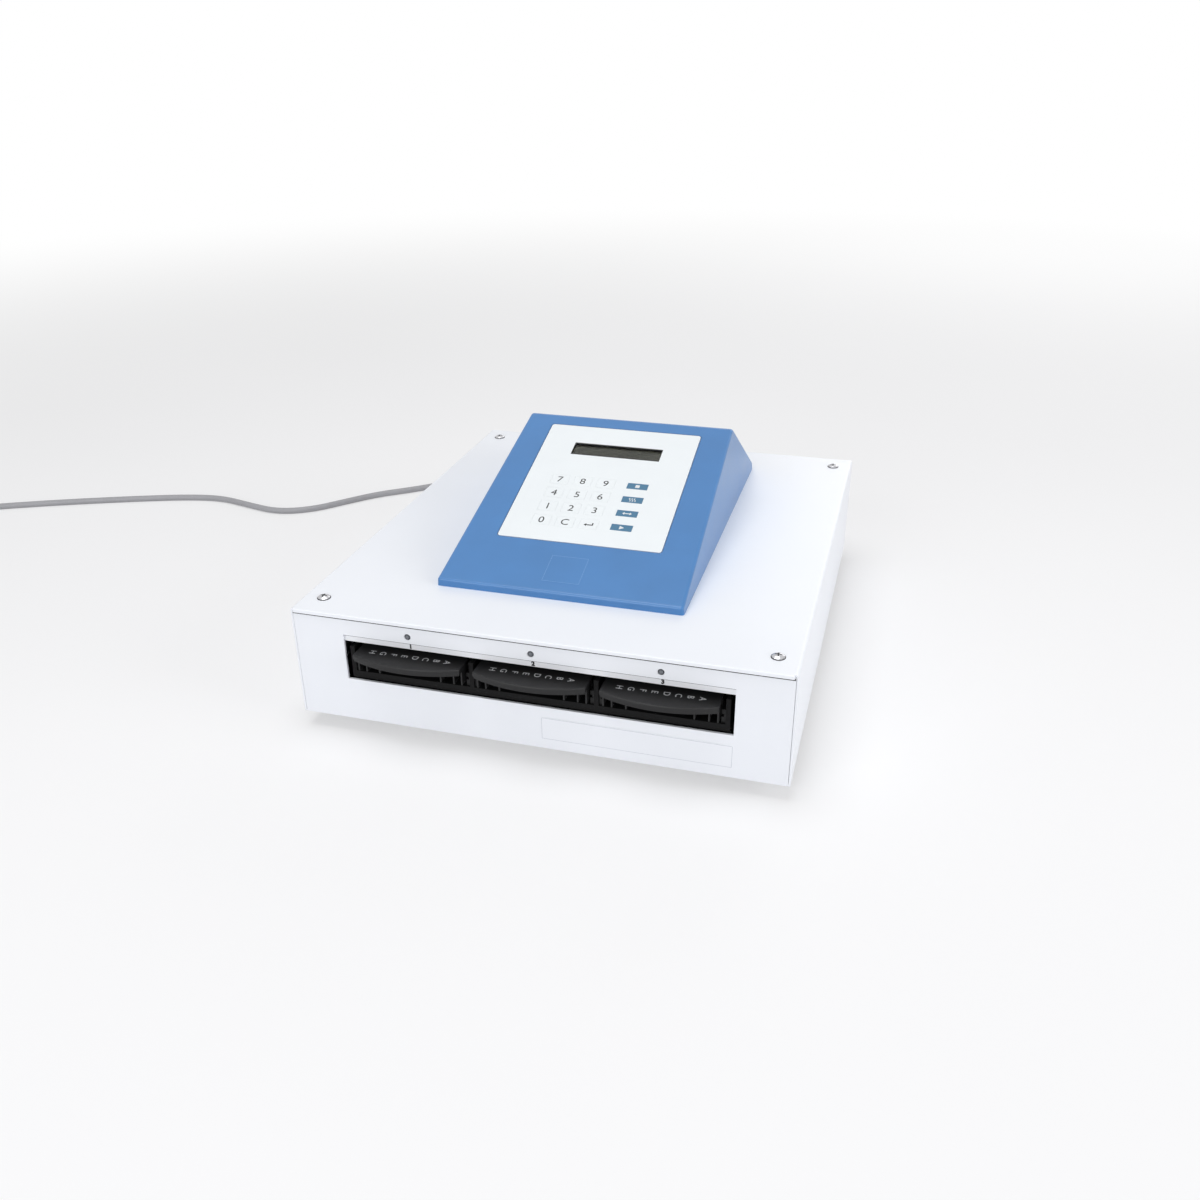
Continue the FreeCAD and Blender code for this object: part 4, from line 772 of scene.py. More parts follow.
class LeadRoute:
    """Where the lead lies: its run to the coil, the coil, and the tail to the plug."""

    def __init__(self, lead):
        self.lead = lead
        self.turns = lead.turns_below + lead.turns_above
        self.end = Vector(LEAD_POINTS[-1]) * MM
        self.aim = (self.end - Vector(LEAD_POINTS[-2]) * MM).normalized()
        self.inward = Vector((-self.aim.y, self.aim.x, 0))
        self.start = self.end + self.aim * lead.width
        self.centre = self.start + self.inward * (lead.core_radius + lead.spacing * lead.turns_below)
        strap_gap = 0.1 * MM
        self.lift = lead.strap_thickness + strap_gap

    def spoke(self, turn):
        """The direction from the coil's middle after some turns."""
        angle = 2 * math.pi * turn
        return self.inward * -math.cos(angle) + self.aim * math.sin(angle)

    def coil_point(self, turn):
        """The lead's middle after some turns: in along the floor, up a layer, and out on top."""
        past = turn - self.lead.turns_below
        radius = self.lead.core_radius + self.lead.spacing * abs(past)
        # The climb takes half a turn and is eased at both ends
        climb = min(max(2 * past + 0.5, 0), 1)
        rise = self.lead.spacing * climb ** 2 * (3 - 2 * climb)
        # The first half turn rises onto the strap
        settle = min(2 * turn, 1)
        lift = Vector((0, 0, rise + self.lift * settle))
        return self.centre + self.spoke(turn) * radius + lift

    def coil_points(self, per_turn):
        steps = round(self.turns * per_turn)
        return [self.coil_point(self.turns * step / steps) for step in range(steps + 1)]

    def tail_points(self):
        """From the coil's last turn, straight on to the plug, which lies on the floor."""
        last = self.coil_point(self.turns)
        radius_gain = self.lead.spacing / (2 * math.pi)
        radius = self.lead.core_radius + self.lead.spacing * self.lead.turns_above
        angle = 2 * math.pi * self.turns
        along = self.inward * math.sin(angle) + self.aim * math.cos(angle)
        aim = (along * radius + self.spoke(self.turns) * radius_gain).normalized()
        near, far, end = [last + aim * self.lead.tail * share for share in (0.3, 0.7, 1)]
        far.z = PLUG_RADIUS
        end.z = PLUG_RADIUS
        return [near, far, end, end + aim * self.lead.width], aim


def add_ribs(bm, start, **sizes):
    """Adds the ribs of a strain relief along Y."""
    ribs = grown(rib_tree(), Finish=finish_named("plug_grey"), **sizes)
    stamp(bm, ribs, Matrix.Translation((0, start, 0)))


class SHAKER_OT_lead_connector(bpy.types.Operator):
    """Makes the lead's connector with its ribbed strain relief"""

    bl_idname = "shaker.lead_connector"
    bl_label = "Lead connector"

    def body(self, bm, half):
        """The nose inside the inlet and the grip behind it, by place along, inset and corner radius."""
        nose = [(-16.2, 1.5, 1.0), (-0.2, 1.5, 1.0)]
        grip = [
            (0, 0.9, 2.4), (0.3, 0.3, 2.8), (1, 0, 3), (21, 0, 3),
            (25, 0.5, 3.2), (28, 1.6, 3.6), (30, 3.4, 4),
        ]
        for sections in (nose, grip):
            rings = []
            for y, inset, radius in in_metres(sections):
                outline = rounded_outline(2 * (half.x - inset), 2 * (half.z - inset), radius)
                rings.append([(x, y, z) for x, z in outline])
            skin(bm, rings)

    def grip_bars(self, bm, side, face):
        """Upright bars on one side of the grip."""
        bars, first_bar, pitch = 6, 5 * MM, 3 * MM
        width, height, radius = 1.4 * MM, 11 * MM, 0.6 * MM
        root, crest = -0.1 * MM, 0.45 * MM
        turn = Matrix(((0, 0, side), (side, 0, 0), (0, 1, 0))).to_4x4()
        for number in range(bars):
            bar = prism(rounded_outline(width, height, radius, steps=3), root, crest)
            shift = Matrix.Translation((side * face, first_bar + pitch * number, 0))
            stamp(bm, bar, shift @ turn)

    def execute(self, context):
        low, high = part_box("cord_connector")
        half = (high - low) / 2
        middle = middle_of("cord_connector")
        gap_to_inlet, bar_inset = 0.3 * MM, 0.3 * MM
        middle.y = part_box("inlet_socket")[1].y + gap_to_inlet
        sleeve = in_metres([(5.6, 29.8), (5.4, 31), (3.75, 57.7), (3.6, 58)])
        bm = bmesh.new()
        self.body(bm, half)
        turned(bm, sleeve, steps=32)
        add_ribs(
            bm, start=31.6 * MM, Ribs=8, Spacing=3.5 * MM, First=6.5 * MM, Last=4.4 * MM,
            Thickness=2.3 * MM,
        )
        for side in (-1, 1):
            self.grip_bars(bm, side, half.x - bar_inset)
        bmesh.ops.translate(bm, verts=bm.verts, vec=middle)
        piece = add_piece("lead_connector", bm, "case", ["plug_grey"])
        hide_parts("cord_connector")
        return {"FINISHED"}


class SHAKER_OT_lead_plug(bpy.types.Operator):
    """Makes the two-pin plug at the lead's far end"""

    bl_idname = "shaker.lead_plug"
    bl_label = "Lead plug"

    def pins(self, bm):
        """Two round pins with rounded ends, by radius and place."""
        half_pitch = 9.5 * MM
        profile = in_metres([(2.4, 54), (2.4, 74), (1.9, 74.8), (1.1, 75)])
        for side in (-1, 1):
            pin = bmesh.new()
            turned(pin, profile, steps=24)
            stamp(bm, mesh_of(pin), Matrix.Translation((side * half_pitch, 0, 0)), finish_number=1)

    def flutes(self, bm):
        """Grip bars all round the body."""
        flutes, middle, reach = 28, 38.5 * MM, 17 * MM
        width, length, radius = 1.5 * MM, 13.5 * MM, 0.7 * MM
        root, crest = -0.4 * MM, 0.7 * MM
        out = Matrix.Translation((0, middle, reach))
        for number in range(flutes):
            flute = prism(rounded_outline(width, length, radius, steps=3), root, crest)
            stamp(bm, flute, Matrix.Rotation(2 * math.pi * number / flutes, 4, "Y") @ out)

    def execute(self, context):
        points, aim = LeadRoute(context.scene.shaker_lead).tail_points()
        # Radius and place, from the lead's end to the plug's face
        body = in_metres([
            (3.7, 0), (4, 0.3), (6.6, 20), (8.4, 22.2), (13.5, 23.4), (16.6, 25.4),
            (17.6, 28), (17.6, 30), (16.9, 31), (16.9, 46), (17.6, 47),
            (18, 49), (18, 54.6), (17.5, 55.6), (16.4, 56), (15.6, 55.2),
        ])
        bm = bmesh.new()
        turned(bm, body)
        self.pins(bm)
        add_ribs(
            bm, start=2 * MM, Ribs=6, Spacing=3.3 * MM, First=4.6 * MM, Last=7.6 * MM,
            Thickness=1.9 * MM,
        )
        self.flutes(bm)
        heading = math.atan2(aim.y, aim.x) - math.pi / 2
        place = Matrix.Translation(points[-1]) @ Matrix.Rotation(heading, 4, "Z")
        bmesh.ops.transform(bm, matrix=place, verts=bm.verts)
        piece = add_piece("lead_plug", bm, "case", ["plug_grey", "pin_steel"])
        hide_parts("mains_plug")
        return {"FINISHED"}


class SHAKER_OT_coil_strap(bpy.types.Operator):
    """Makes the strap that holds the coil of spare lead"""

    bl_idname = "shaker.coil_strap"
    bl_label = "Coil strap"

    def execute(self, context):
        lead = context.scene.shaker_lead
        route = LeadRoute(lead)
        turns_held, place_on_turn, gap = 4, 0.75, 0.15 * MM
        spots = [route.coil_point(turn + place_on_turn) for turn in range(turns_held)]
        reach = [(spot - route.centre).to_2d().length for spot in spots]
        radius = lead.width / 2
        clear = radius + gap
        low = min(reach) - clear
        high = max(reach) + clear
        top = max(spot.z for spot in spots) + clear
        thickness = lead.strap_thickness
        spoke = route.spoke(place_on_turn)
        across = Vector((0, 0, 1)).cross(spoke)
        middle = route.centre + spoke * (low + high) / 2
        middle.z = (top + thickness) / 2

        def section(inner, outer, half_width):
            """A slice across the strap, between a point of its inner outline and one of its outer."""
            corners = ((inner, -1), (outer, -1), (outer, 1), (inner, 1))
            return [
                middle + spoke * out + across * half_width * side + Vector((0, 0, up))
                for (out, up), side in corners
            ]

        width = high - low
        inside = rounded_outline(width, top - thickness, radius, steps=8)
        outside = rounded_outline(width + 2 * thickness, top + thickness, radius + thickness, steps=8)
        half = lead.strap_width / 2
        bm = bmesh.new()
        hoop(bm, [section(inner, outer, half) for inner, outer in zip(inside, outside)])
        flap_half = 0.98 * half
        flap_thickness = 0.9 * MM
        flap_low = 0.6 * max(up for _, up in outside)
        flap = [(out, up) for out, up in outside if up > flap_low]
        skin(bm, [section((out, up), (out, up + flap_thickness), flap_half) for out, up in flap])
        add_piece("coil_strap", bm, "case", ["strap_black"])
        return {"FINISHED"}


class SHAKER_OT_lead(bpy.types.Operator):
    """Lays the mains lead from the connector along the floor into its coil and to the plug"""

    bl_idname = "shaker.lead"
    bl_label = "Mains lead"

    def execute(self, context):
        lead = context.scene.shaker_lead
        route = LeadRoute(lead)
        tail, _ = route.tail_points()
        points = [Vector(LEAD_EXIT)] + [Vector(point) * MM for point in LEAD_POINTS]
        points += route.coil_points(POINTS_PER_TURN) + tail
        curve = bpy.data.curves.new("mains_lead", "CURVE")
        curve.dimensions = "3D"
        spline = curve.splines.new("NURBS")
        spline.points.add(len(points) - 1)
        for handle, point in zip(spline.points, points):
            handle.co = (*point, 1)
        spline.order_u = 3
        spline.use_endpoint_u = True
        curve.resolution_u = 8
        curve.bevel_depth = lead.width / 2
        curve.bevel_resolution = 5
        curve.use_fill_caps = True
        curve.materials.append(finish_named("cord_grey"))
        piece = bpy.data.objects.new("mains_lead", curve)
        context.scene.collection.objects.link(piece)
        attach(piece, "case")
        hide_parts("mains_cord", "cord_coil")
        return {"FINISHED"}


# Signs, and painted shadow lines

# The keypad on the slope, from its lowest row up
KEY_ROWS = (
    ("0", "clear", "enter", "start"),
    ("1", "2", "3", "shake"),
    ("4", "5", "6", "heat"),
    ("7", "8", "9", "stop"),
)
FIRST_ROW = 86.3 * MM
ROW_PITCH = 18.9 * MM
FIRST_COLUMN = -39.8 * MM
COLUMN_PITCH = 21 * MM
FUNCTION_COLUMN = 3
FUNCTION_PLACE = 31 * MM


def key_spot(column, row):
    """The middle of a key on the slope."""
    across = FUNCTION_PLACE if column == FUNCTION_COLUMN else FIRST_COLUMN + COLUMN_PITCH * column
    return across, FIRST_ROW + ROW_PITCH * row


def wave(shift):
    """One rising wave of the heat sign."""
    swing, half_line, half_height, steps = 0.7, 0.38, 2.3, 8
    right = []
    for step in range(steps + 1):
        share = step / steps
        x = shift + swing * math.sin(2 * math.pi * share) + half_line
        right.append((x, half_height * (2 * share - 1)))
    left = [(x - 2 * half_line, y) for x, y in reversed(right)]
    return right + left


# Outlines of the plain signs, in millimetres about the middle of a key
SIGNS = {
    "enter": [[
        (-4.2, -0.7), (-2, 1), (-2, -0.1), (2.9, -0.1), (2.9, 2.1),
        (4, 2.1), (4, -1.3), (-2, -1.3), (-2, -2.4),
    ]],
    "start": [[(-1.9, -2.2), (2.3, 0), (-1.9, 2.2)]],
    "shake": [[
        (-4.2, 0), (-2.2, 1.7), (-2.2, 0.5), (2.2, 0.5), (2.2, 1.7),
        (4.2, 0), (2.2, -1.7), (2.2, -0.5), (-2.2, -0.5), (-2.2, -1.7),
    ]],
    "heat": [wave(shift) for shift in (-2.2, 0, 2.2)],
    "stop": [rounded_outline(3.8, 3.8, 0.3, steps=2)],
}


class SHAKER_OT_key_signs(bpy.types.Operator):
    """Prints a digit or a plain sign on every key"""

    bl_idname = "shaker.key_signs"
    bl_label = "Key signs"

    def execute(self, context):
        digit_height = context.scene.shaker_console.digit_height
        sunk, thickness = 0.01 * MM, 0.05 * MM
        for row, names in enumerate(KEY_ROWS):
            for column, name in enumerate(names):
                matrix = SLOPE_FRAME @ Matrix.Translation((*key_spot(column, row), -sunk))
                bm = bmesh.new()
                if name in SIGNS:
                    for outline in SIGNS[name]:
                        stamp(bm, prism(in_metres(outline), 0, thickness), matrix)
                else:
                    word = "C" if name == "clear" else name
                    stamp(bm, lettering(word, digit_height, thickness=thickness), matrix)
                ink = "white_ink" if column == FUNCTION_COLUMN else "key_ink"
                add_piece("key_sign_" + name, bm, "key_" + name, [ink])
        return {"FINISHED"}


class SHAKER_OT_station_numbers(bpy.types.Operator):
    """Prints the station numbers on the strip above the drawers"""

    bl_idname = "shaker.station_numbers"
    bl_label = "Station numbers"

    def execute(self, context):
        height = context.scene.shaker_station.number_height
        shift, level, weight = 1 * MM, STRIP_LOW + 2.6 * MM, 0.07
        bm = bmesh.new()
        for number, (_, x) in enumerate(STATIONS, 1):
            place = Matrix.Translation((x + shift, STRIP_FACE + SUNK, level)) @ FACING_FRONT
            stamp(bm, lettering(str(number), height, weight), place)
        add_piece("station_numbers", bm, "case", ["black_ink"])
        return {"FINISHED"}


class SHAKER_OT_strip_shadow(bpy.types.Operator):
    """Paints a grey band along the number strip's upper edge, as painted shadow cast by the window's edge
    on the strip
    """

    bl_idname = "shaker.strip_line"
    bl_label = "Strip shadow"

    def execute(self, context):
        half_width, low, height = 156 * MM, 4.4 * MM, 1.6 * MM
        outline = [(-half_width, 0), (half_width, 0), (half_width, height), (-half_width, height)]
        place = Matrix.Translation((0, STRIP_FACE + SUNK, STRIP_LOW + low)) @ FACING_FRONT
        bm = bmesh.new()
        # The grey band is painted shadow from the window's upper edge, not a print
        stamp(bm, prism(outline, 0, SUNK + PROUD), place)
        add_piece("strip_line", bm, "case", ["grey_ink"])
        return {"FINISHED"}


class SHAKER_OT_row_letters(bpy.types.Operator):
    """Prints the row letters of a plate on each drawer's lip"""

    bl_idname = "shaker.row_letters"
    bl_label = "Row letters"

    def execute(self, context):
        station = context.scene.shaker_station
        letters = "HGFEDCBA"
        middle = (len(letters) - 1) / 2
        quarter = Matrix.Rotation(-math.pi / 2, 4, "Z")
        for place_name, x in STATIONS:
            bm = bmesh.new()
            for number, letter in enumerate(letters):
                across = x + (number - middle) * station.letter_pitch
                spot = (across, PANEL_FACE + station.letter_setback, LIP_TOP - SUNK)
                stamp(bm, lettering(letter, station.letter_height), Matrix.Translation(spot) @ quarter)
            add_piece("row_letters_" + place_name, bm, "drawer_" + place_name, ["letter_ink"])
        return {"FINISHED"}


class SHAKER_OT_plates(bpy.types.Operator):
    """Sticks the blank plates on the front panel, the console and the rear panel"""

    bl_idname = "shaker.plates"
    bl_label = "Blank plates"

    def plate(self, name, place, width, height, radius, thickness, line, ground, ink):
        """A thin film with a printed line just inside its edge."""

        def outline(inset, least_radius=0):
            corner = max(radius - inset, least_radius)
            return rounded_outline(width - 2 * inset, height - 2 * inset, corner)

        bm = bmesh.new()
        chamfer = 0.3 * thickness
        rings = []
        for inset, level in ((0, 0), (0, thickness - chamfer), (chamfer, thickness)):
            rings.append([place @ Vector((x, y, level)) for x, y in outline(inset)])
        skin(bm, rings)
        edge, proud = 0.5 * MM, 0.015 * MM
        outer = outline(edge, least_radius=0.3 * MM)
        inner = outline(edge + line, least_radius=0.2 * MM)
        foot = 0.8 * thickness
        band(bm, outer, inner, place, foot, thickness + proud, foot, finish_number=1)
        add_piece(name, bm, "case", [ground, ink])

    def execute(self, context):
        case = context.scene.shaker_case
        console = context.scene.shaker_console
        badge_middle = console.badge_start + console.badge_width / 2
        self.plate(
            "name_plate", Matrix.Translation((case.plate_x, PANEL_FACE, case.plate_z)) @ FACING_FRONT,
            width=case.plate_width, height=case.plate_height, radius=1.2 * MM, thickness=case.film,
            line=0.3 * MM, ground="white_paint", ink="line_ink",
        )
        self.plate(
            "console_badge", SLOPE_FRAME @ Matrix.Translation((-1 * MM, badge_middle, 0)),
            width=console.badge_width, height=console.badge_width, radius=0.8 * MM, thickness=0.12 * MM,
            line=0.25 * MM, ground="console_blue", ink="blue_line",
        )
        self.plate(
            "rear_plate", Matrix.Translation((-10 * MM, REAR_FACE, 66 * MM)) @ FACING_REAR,
            width=70 * MM, height=40 * MM, radius=2 * MM, thickness=case.film,
            line=0.4 * MM, ground="strip_white", ink="line_ink",
        )
        return {"FINISHED"}


class SHAKER_OT_display_cells(bpy.types.Operator):
    """Sets the dark character cells into the display"""

    bl_idname = "shaker.display_cells"
    bl_label = "Display cells"

    def execute(self, context):
        console = context.scene.shaker_console
        depth = 2.38 * MM
        mesh = grown(
            cell_tree(), Columns=console.cell_columns, Rows=console.cell_rows, Width=3.5 * MM,
            Height=5.4 * MM, Gap=0.9 * MM, Thickness=0.08 * MM, Finish=finish_named("cell_ink"),
        )
        bm = bmesh.new()
        stamp(bm, mesh, SLOPE_FRAME @ Matrix.Translation((0, DISPLAY_MIDDLE, -depth)))
        add_piece("display_cells", bm, "case", ["cell_ink"])
        return {"FINISHED"}


class SHAKER_OT_display_frame(bpy.types.Operator):
    """Lines the display's window with a dark frame that overlaps the film a little"""

    bl_idname = "shaker.display_frame"
    bl_label = "Display frame"

    def execute(self, context):
        width, height = 82 * MM, 15.5 * MM
        side_overlap, end_overlap = 0.3 * MM, 1.2 * MM
        lining, depth = 0.05 * MM, 1.05 * MM
        outer = rounded_outline(width + 2 * side_overlap, height + 2 * end_overlap, 0.4 * MM)
        inner = rounded_outline(width - 2 * lining, height - 2 * lining, 0.2 * MM)
        middle = SLOPE_FRAME @ Matrix.Translation((0, DISPLAY_MIDDLE, 0))
        bm = bmesh.new()
        band(bm, outer, inner, middle, -SUNK, PROUD, -depth)
        add_piece("display_frame", bm, "case", ["black_ink"])
        return {"FINISHED"}


class SHAKER_OT_film_shadow(bpy.types.Operator):
    """Paints the thin dark line round the keypad film, as painted shade in the gap between the film and the
    console
    """

    bl_idname = "shaker.film_edge"
    bl_label = "Film shadow"

    def execute(self, context):
        width, height, radius, line = 143 * MM, 165 * MM, 3 * MM, 0.45 * MM
        film_middle = 142.5 * MM
        outer = rounded_outline(width, height, radius)
        inner = rounded_outline(width - 2 * line, height - 2 * line, radius - line)
        middle = SLOPE_FRAME @ Matrix.Translation((0, film_middle, 0))
        bm = bmesh.new()
        # The dark band is painted shade in the gap round the film
        band(bm, outer, inner, middle, -SUNK, PROUD, -SUNK)
        add_piece("film_edge", bm, "case", ["film_line"])
        return {"FINISHED"}


class SHAKER_OT_switch_marks(bpy.types.Operator):
    """Prints the plain on and off marks on the rear rocker"""

    bl_idname = "shaker.switch_marks"
    bl_label = "Switch marks"

    def execute(self, context):
        low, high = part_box("power_rocker")
        middle = middle_of("power_rocker")
        half = (high.z - low.z) / 2
        mark_height, weight = 3.4 * MM, 0.01
        # The rocker's face slopes from its fold to a raised rim, drawn in by a taper, and to a pressed rim
        raised = high.y
        pressed = raised - 1.6 * MM
        fold = pressed + 0.5 * MM
        taper = 0.9 * MM
        bm = bmesh.new()
        for side, rim, run, sign in ((1, raised, half - taper, "O"), (-1, pressed, half, "I")):
            rise = (rim - fold) / run
            spot = (middle.x, fold + rise * half / 2 - SUNK, middle.z + side * half / 2)
            turn = Matrix.Rotation(-side * math.atan(rise), 4, "X") @ FACING_REAR
            stamp(bm, lettering(sign, mark_height, weight), Matrix.Translation(spot) @ turn)
        add_piece("switch_marks", bm, "rocker", ["white_ink"])
        return {"FINISHED"}


# Small fittings of the case, and painted shade at the cover screws and under the hem


class SHAKER_OT_feet(bpy.types.Operator):
    """Makes the four moulded rubber feet"""

    bl_idname = "shaker.feet"
    bl_label = "Rubber feet"

    def execute(self, context):
        low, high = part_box("rubber_feet")
        height = high.z - low.z
        foot_radius = 12 * MM
        # Radius and height, from the hollow under the foot to its top
        profile = in_metres([
            (2.2, 3), (3.6, 3), (3.9, 0.3), (4.4, 0), (8.9, 0), (9.7, 0.3), (10.1, 1), (10.4, 3.4),
            (10, 3.9), (10, 4.5), (10.5, 5), (11.6, 13),
        ])
        profile.append((11.3 * MM, height))
        bm = bmesh.new()
        turned(bm, profile)
        bmesh.ops.rotate(bm, verts=bm.verts, cent=(0, 0, 0), matrix=Matrix.Rotation(math.pi / 2, 3, "X"))
        feet = at_corners(bm, (low, high), inset=foot_radius, level=0, finish="rubber_black")
        piece = add_piece("moulded_feet", feet, "case", ["rubber_black"])
        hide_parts("rubber_feet")
        return {"FINISHED"}


class SHAKER_OT_screw_shading(bpy.types.Operator):
    """Lays a thin black ring round each cover screw's head and darkens its driver recess with painted shade
    """

    bl_idname = "shaker.screw_trim"
    bl_label = "Screw shading"

    def execute(self, context):
        head = 5 * MM
        bm = bmesh.new()
        # The dark ring round the head, by distance outside the screw's head and height above the cover
        head_ring = in_metres([(0.04, 0), (0.55, 0), (0.5, 0.3), (0.04, 0.3)])
        hoop(bm, [[((head + out) * c, (head + out) * s, z) for out, z in head_ring] for c, s in circle(40)])
        # A dark cross just above the recess floor: painted shade in the driver recess
        recess_floor, gap, fill = 1.1 * MM, 0.01 * MM, 0.3 * MM
        arm, half = 2.75 * MM, 0.55 * MM
        cross = [
            (arm, -half), (arm, half), (half, half), (half, arm), (-half, arm), (-half, half), (-arm, half),
            (-arm, -half), (-half, -half), (-half, -arm), (half, -arm), (half, -half),
        ]
        stamp(bm, prism(cross, recess_floor + gap, recess_floor + fill), Matrix.Identity(4))
        trim = at_corners(bm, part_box("pan_head_screws"), inset=head, level=DECK, finish="fitting_black")
        add_piece("screw_trim", trim, "case", ["fitting_black"])
        return {"FINISHED"}


class SHAKER_OT_hem_shadow(bpy.types.Operator):
    """Lays a dark strip under the cover's hem, against the front panel, as painted shadow under the hem"""

    bl_idname = "shaker.hem_seam"
    bl_label = "Hem shadow"

    def execute(self, context):
        low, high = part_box("front_panel")
        hem_low = DECK - 3.2 * MM
        end_gap = 0.5 * MM
        # Distance out of the panel's face, and up from the hem's lower edge
        section = in_metres([(0, -1.35), (0.9, -1.2), (0.95, -0.2), (0, -0.2)])
        places = (low.x + end_gap, (low.x + high.x) / 2, high.x - end_gap)
        bm = bmesh.new()
        skin(bm, [[(x, PANEL_FACE - out, hem_low + up) for out, up in section] for x in places])
        # The dark strip is painted shadow under the hem, given the rubber finish
        add_piece("hem_seam", bm, "case", ["rubber_black"])
        return {"FINISHED"}


# Stage


class SHAKER_OT_stage(bpy.types.Operator):
    """Sets the pale floor, the lamps, the sky and the camera"""

    bl_idname = "shaker.stage"
    bl_label = "Stage"

    def paper(self, stage):
        """Pale paper that the camera sees near white, and that keeps the shadows."""
        material = bpy.data.materials.new("floor_paper")
        material.use_nodes = True
        material.node_tree.nodes.clear()
        tree = ShaderTree(material.node_tree)
        spot = tree.node("ShaderNodeTexCoord").outputs["Object"]
        away = tree.node("ShaderNodeVectorMath", {0: spot}, operation="LENGTH").outputs["Value"]
        share_near = 0.4
        reach = {"From Min": stage.fade_start, "From Max": stage.fade_end}
        fade = tree.first(
            "ShaderNodeMapRange", {"Value": away, "To Min": share_near, **reach},
            interpolation_type="SMOOTHSTEP",
        )
        tone = tuple(stage.floor)
        tint = tree.ramp(tree.noise(2.5, where=spot), (0.3, shade_of(tone, 0.985)), (0.7, tone))
        matt = tree.first("ShaderNodeBsdfDiffuse", {"Color": tint})
        bright = tree.first("ShaderNodeEmission", {"Color": WHITE, "Strength": 1})
        share = tree.math("MULTIPLY", tree.straight_look(), fade)
        tree.close("ShaderNodeOutputMaterial", share, matt, bright)
        return material

    def floor(self, stage):
        """A wide flat sheet, in a few strips."""
        marks = (-9, -3, -1, 1, 3, 9)
        bm = bmesh.new()
        rows = [[bm.verts.new((x, y, 0)) for y in marks] for x in marks]
        for row, beside in zip(rows, rows[1:]):
            for number in range(len(marks) - 1):
                bm.faces.new((row[number], beside[number], beside[number + 1], row[number + 1]))
        mesh = mesh_of(bm, "floor")
        mesh.materials.append(self.paper(stage))
        sheet = bpy.data.objects.new("floor", mesh)
        bpy.context.scene.collection.objects.link(sheet)

    def lamp(self, name, spot, aim, width, power):
        light = bpy.data.lights.new(name, "AREA")
        light.shape = "DISK"
        light.size = width
        light.energy = power
        lamp = bpy.data.objects.new(name, light)
        lamp.location = spot
        lamp.rotation_euler = (Vector(aim) - Vector(spot)).to_track_quat("-Z", "Y").to_euler()
        bpy.context.scene.collection.objects.link(lamp)

    def sky(self, stage):
        """Even light all round, which the camera and bright surfaces see as plain white."""
        world = bpy.data.worlds.new("sky")
        world.use_nodes = True
        world.node_tree.nodes.clear()
        tree = ShaderTree(world.node_tree)
        dim = tree.first("ShaderNodeBackground", {"Color": WHITE, "Strength": stage.sky})
        plain = tree.first("ShaderNodeBackground", {"Color": WHITE, "Strength": 1})
        tree.close("ShaderNodeOutputWorld", tree.straight_look(), dim, plain)
        bpy.context.scene.world = world

    def camera(self, stage):
        data = bpy.data.cameras.new("camera")
        data.sensor_fit = "HORIZONTAL"
        data.sensor_width = 36
        data.lens = stage.camera_lens
        data.clip_start = 0.01
        around = stage.camera_azimuth
        down = stage.camera_elevation
        roll = stage.camera_roll
        outward = Vector((math.sin(around), -math.cos(around), 0))
        back = outward * math.cos(down) + Vector((0, 0, math.sin(down)))
        level_right = Vector((math.cos(around), math.sin(around), 0))
        level_up = back.cross(level_right)
        right = level_right * math.cos(roll) + level_up * math.sin(roll)
        up = level_up * math.cos(roll) - level_right * math.sin(roll)
        turn = Matrix((right, up, back)).transposed().to_4x4()
        camera = bpy.data.objects.new("camera", data)
        camera.matrix_world = Matrix.Translation(stage.camera_spot) @ turn
        bpy.context.scene.collection.objects.link(camera)
        bpy.context.scene.camera = camera

    def execute(self, context):
        stage = context.scene.shaker_stage
        self.camera(stage)
        self.floor(stage)
        self.sky(stage)
        case_middle = (0, 0, 0.1)
        self.lamp("key_lamp", (-0.2, -0.2, 2.2), (0, 0, 0.05), width=1.5, power=stage.key_power)
        self.lamp("fill_lamp", (2.1, -0.5, 0.8), case_middle, width=1.4, power=stage.fill_power)
        self.lamp("front_lamp", (-0.5, -2.0, 0.9), case_middle, width=1.4, power=stage.front_power)
        self.lamp("back_lamp", (0.5, 2.2, 1.0), case_middle, width=1.4, power=stage.back_power)
        context.scene.view_settings.view_transform = "Standard"
        return {"FINISHED"}


class SHAKER_PT_looks(bpy.types.Panel):
    """Lists the steps that dress the incubator shaker"""

    bl_idname = "SHAKER_PT_looks"
    bl_label = "Incubator shaker"
    bl_space_type = "VIEW_3D"
    bl_region_type = "UI"
    bl_category = "Shaker"

    def draw(self, context):
        for step in STEPS:
            self.layout.operator(step.bl_idname)
        for name in SETTINGS:
            settings = getattr(context.scene, name)
            box = self.layout.box()
            for key in settings.bl_rna.properties.keys():
                if key not in ("rna_type", "name"):
                    box.prop(settings, key)


SETTINGS = {
    "shaker_case": CaseSettings,
    "shaker_console": ConsoleSettings,
    "shaker_station": StationSettings,
    "shaker_lead": LeadSettings,
    "shaker_stage": StageSettings,
}

STEPS = (
    SHAKER_OT_finishes,
    SHAKER_OT_stage,
    SHAKER_OT_lead_connector,
    SHAKER_OT_lead_plug,
    SHAKER_OT_coil_strap,
    SHAKER_OT_lead,
    SHAKER_OT_key_signs,
    SHAKER_OT_station_numbers,
    SHAKER_OT_strip_shadow,
    SHAKER_OT_row_letters,
    SHAKER_OT_plates,
    SHAKER_OT_display_cells,
    SHAKER_OT_display_frame,
    SHAKER_OT_feet,
    SHAKER_OT_screw_shading,
    SHAKER_OT_film_shadow,
    SHAKER_OT_hem_shadow,
    SHAKER_OT_switch_marks,
)


def register():
    for name, group in SETTINGS.items():
        bpy.utils.register_class(group)
        setattr(bpy.types.Scene, name, PointerProperty(type=group))
    for step in STEPS:
        bpy.utils.register_class(step)
    bpy.utils.register_class(SHAKER_PT_looks)


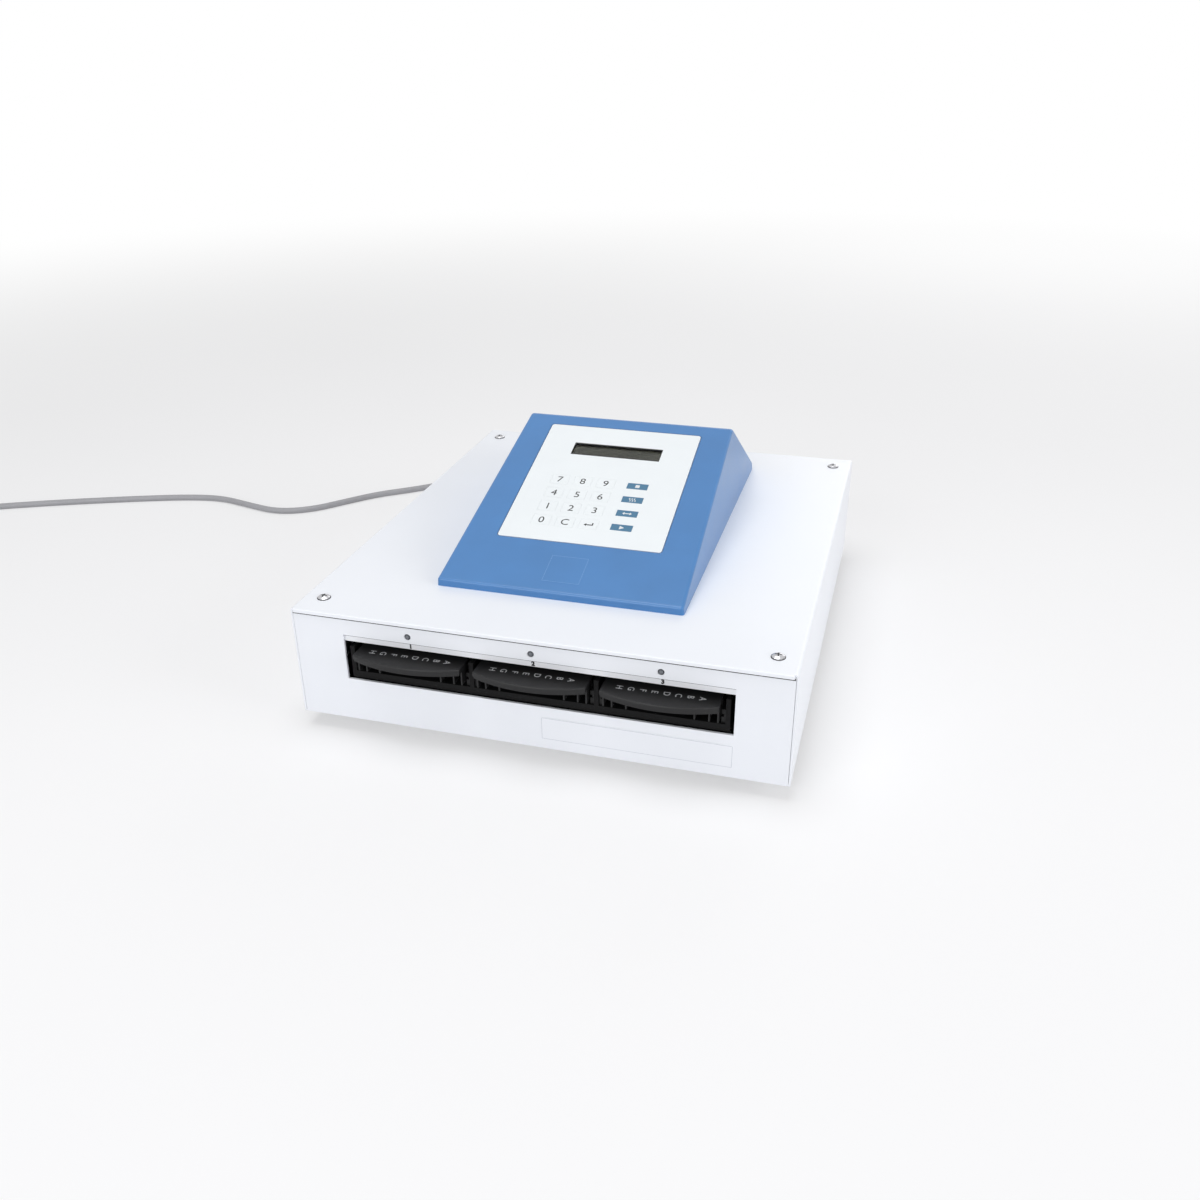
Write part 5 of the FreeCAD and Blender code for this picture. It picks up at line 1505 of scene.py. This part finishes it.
def unregister():
    bpy.utils.unregister_class(SHAKER_PT_looks)
    for step in reversed(STEPS):
        bpy.utils.unregister_class(step)
    for name, group in SETTINGS.items():
        delattr(bpy.types.Scene, name)
        bpy.utils.unregister_class(group)


def main():
    register()
    for step in STEPS:
        family, name = step.bl_idname.split(".")
        getattr(getattr(bpy.ops, family), name)()


if __name__ == "__main__":
    main()
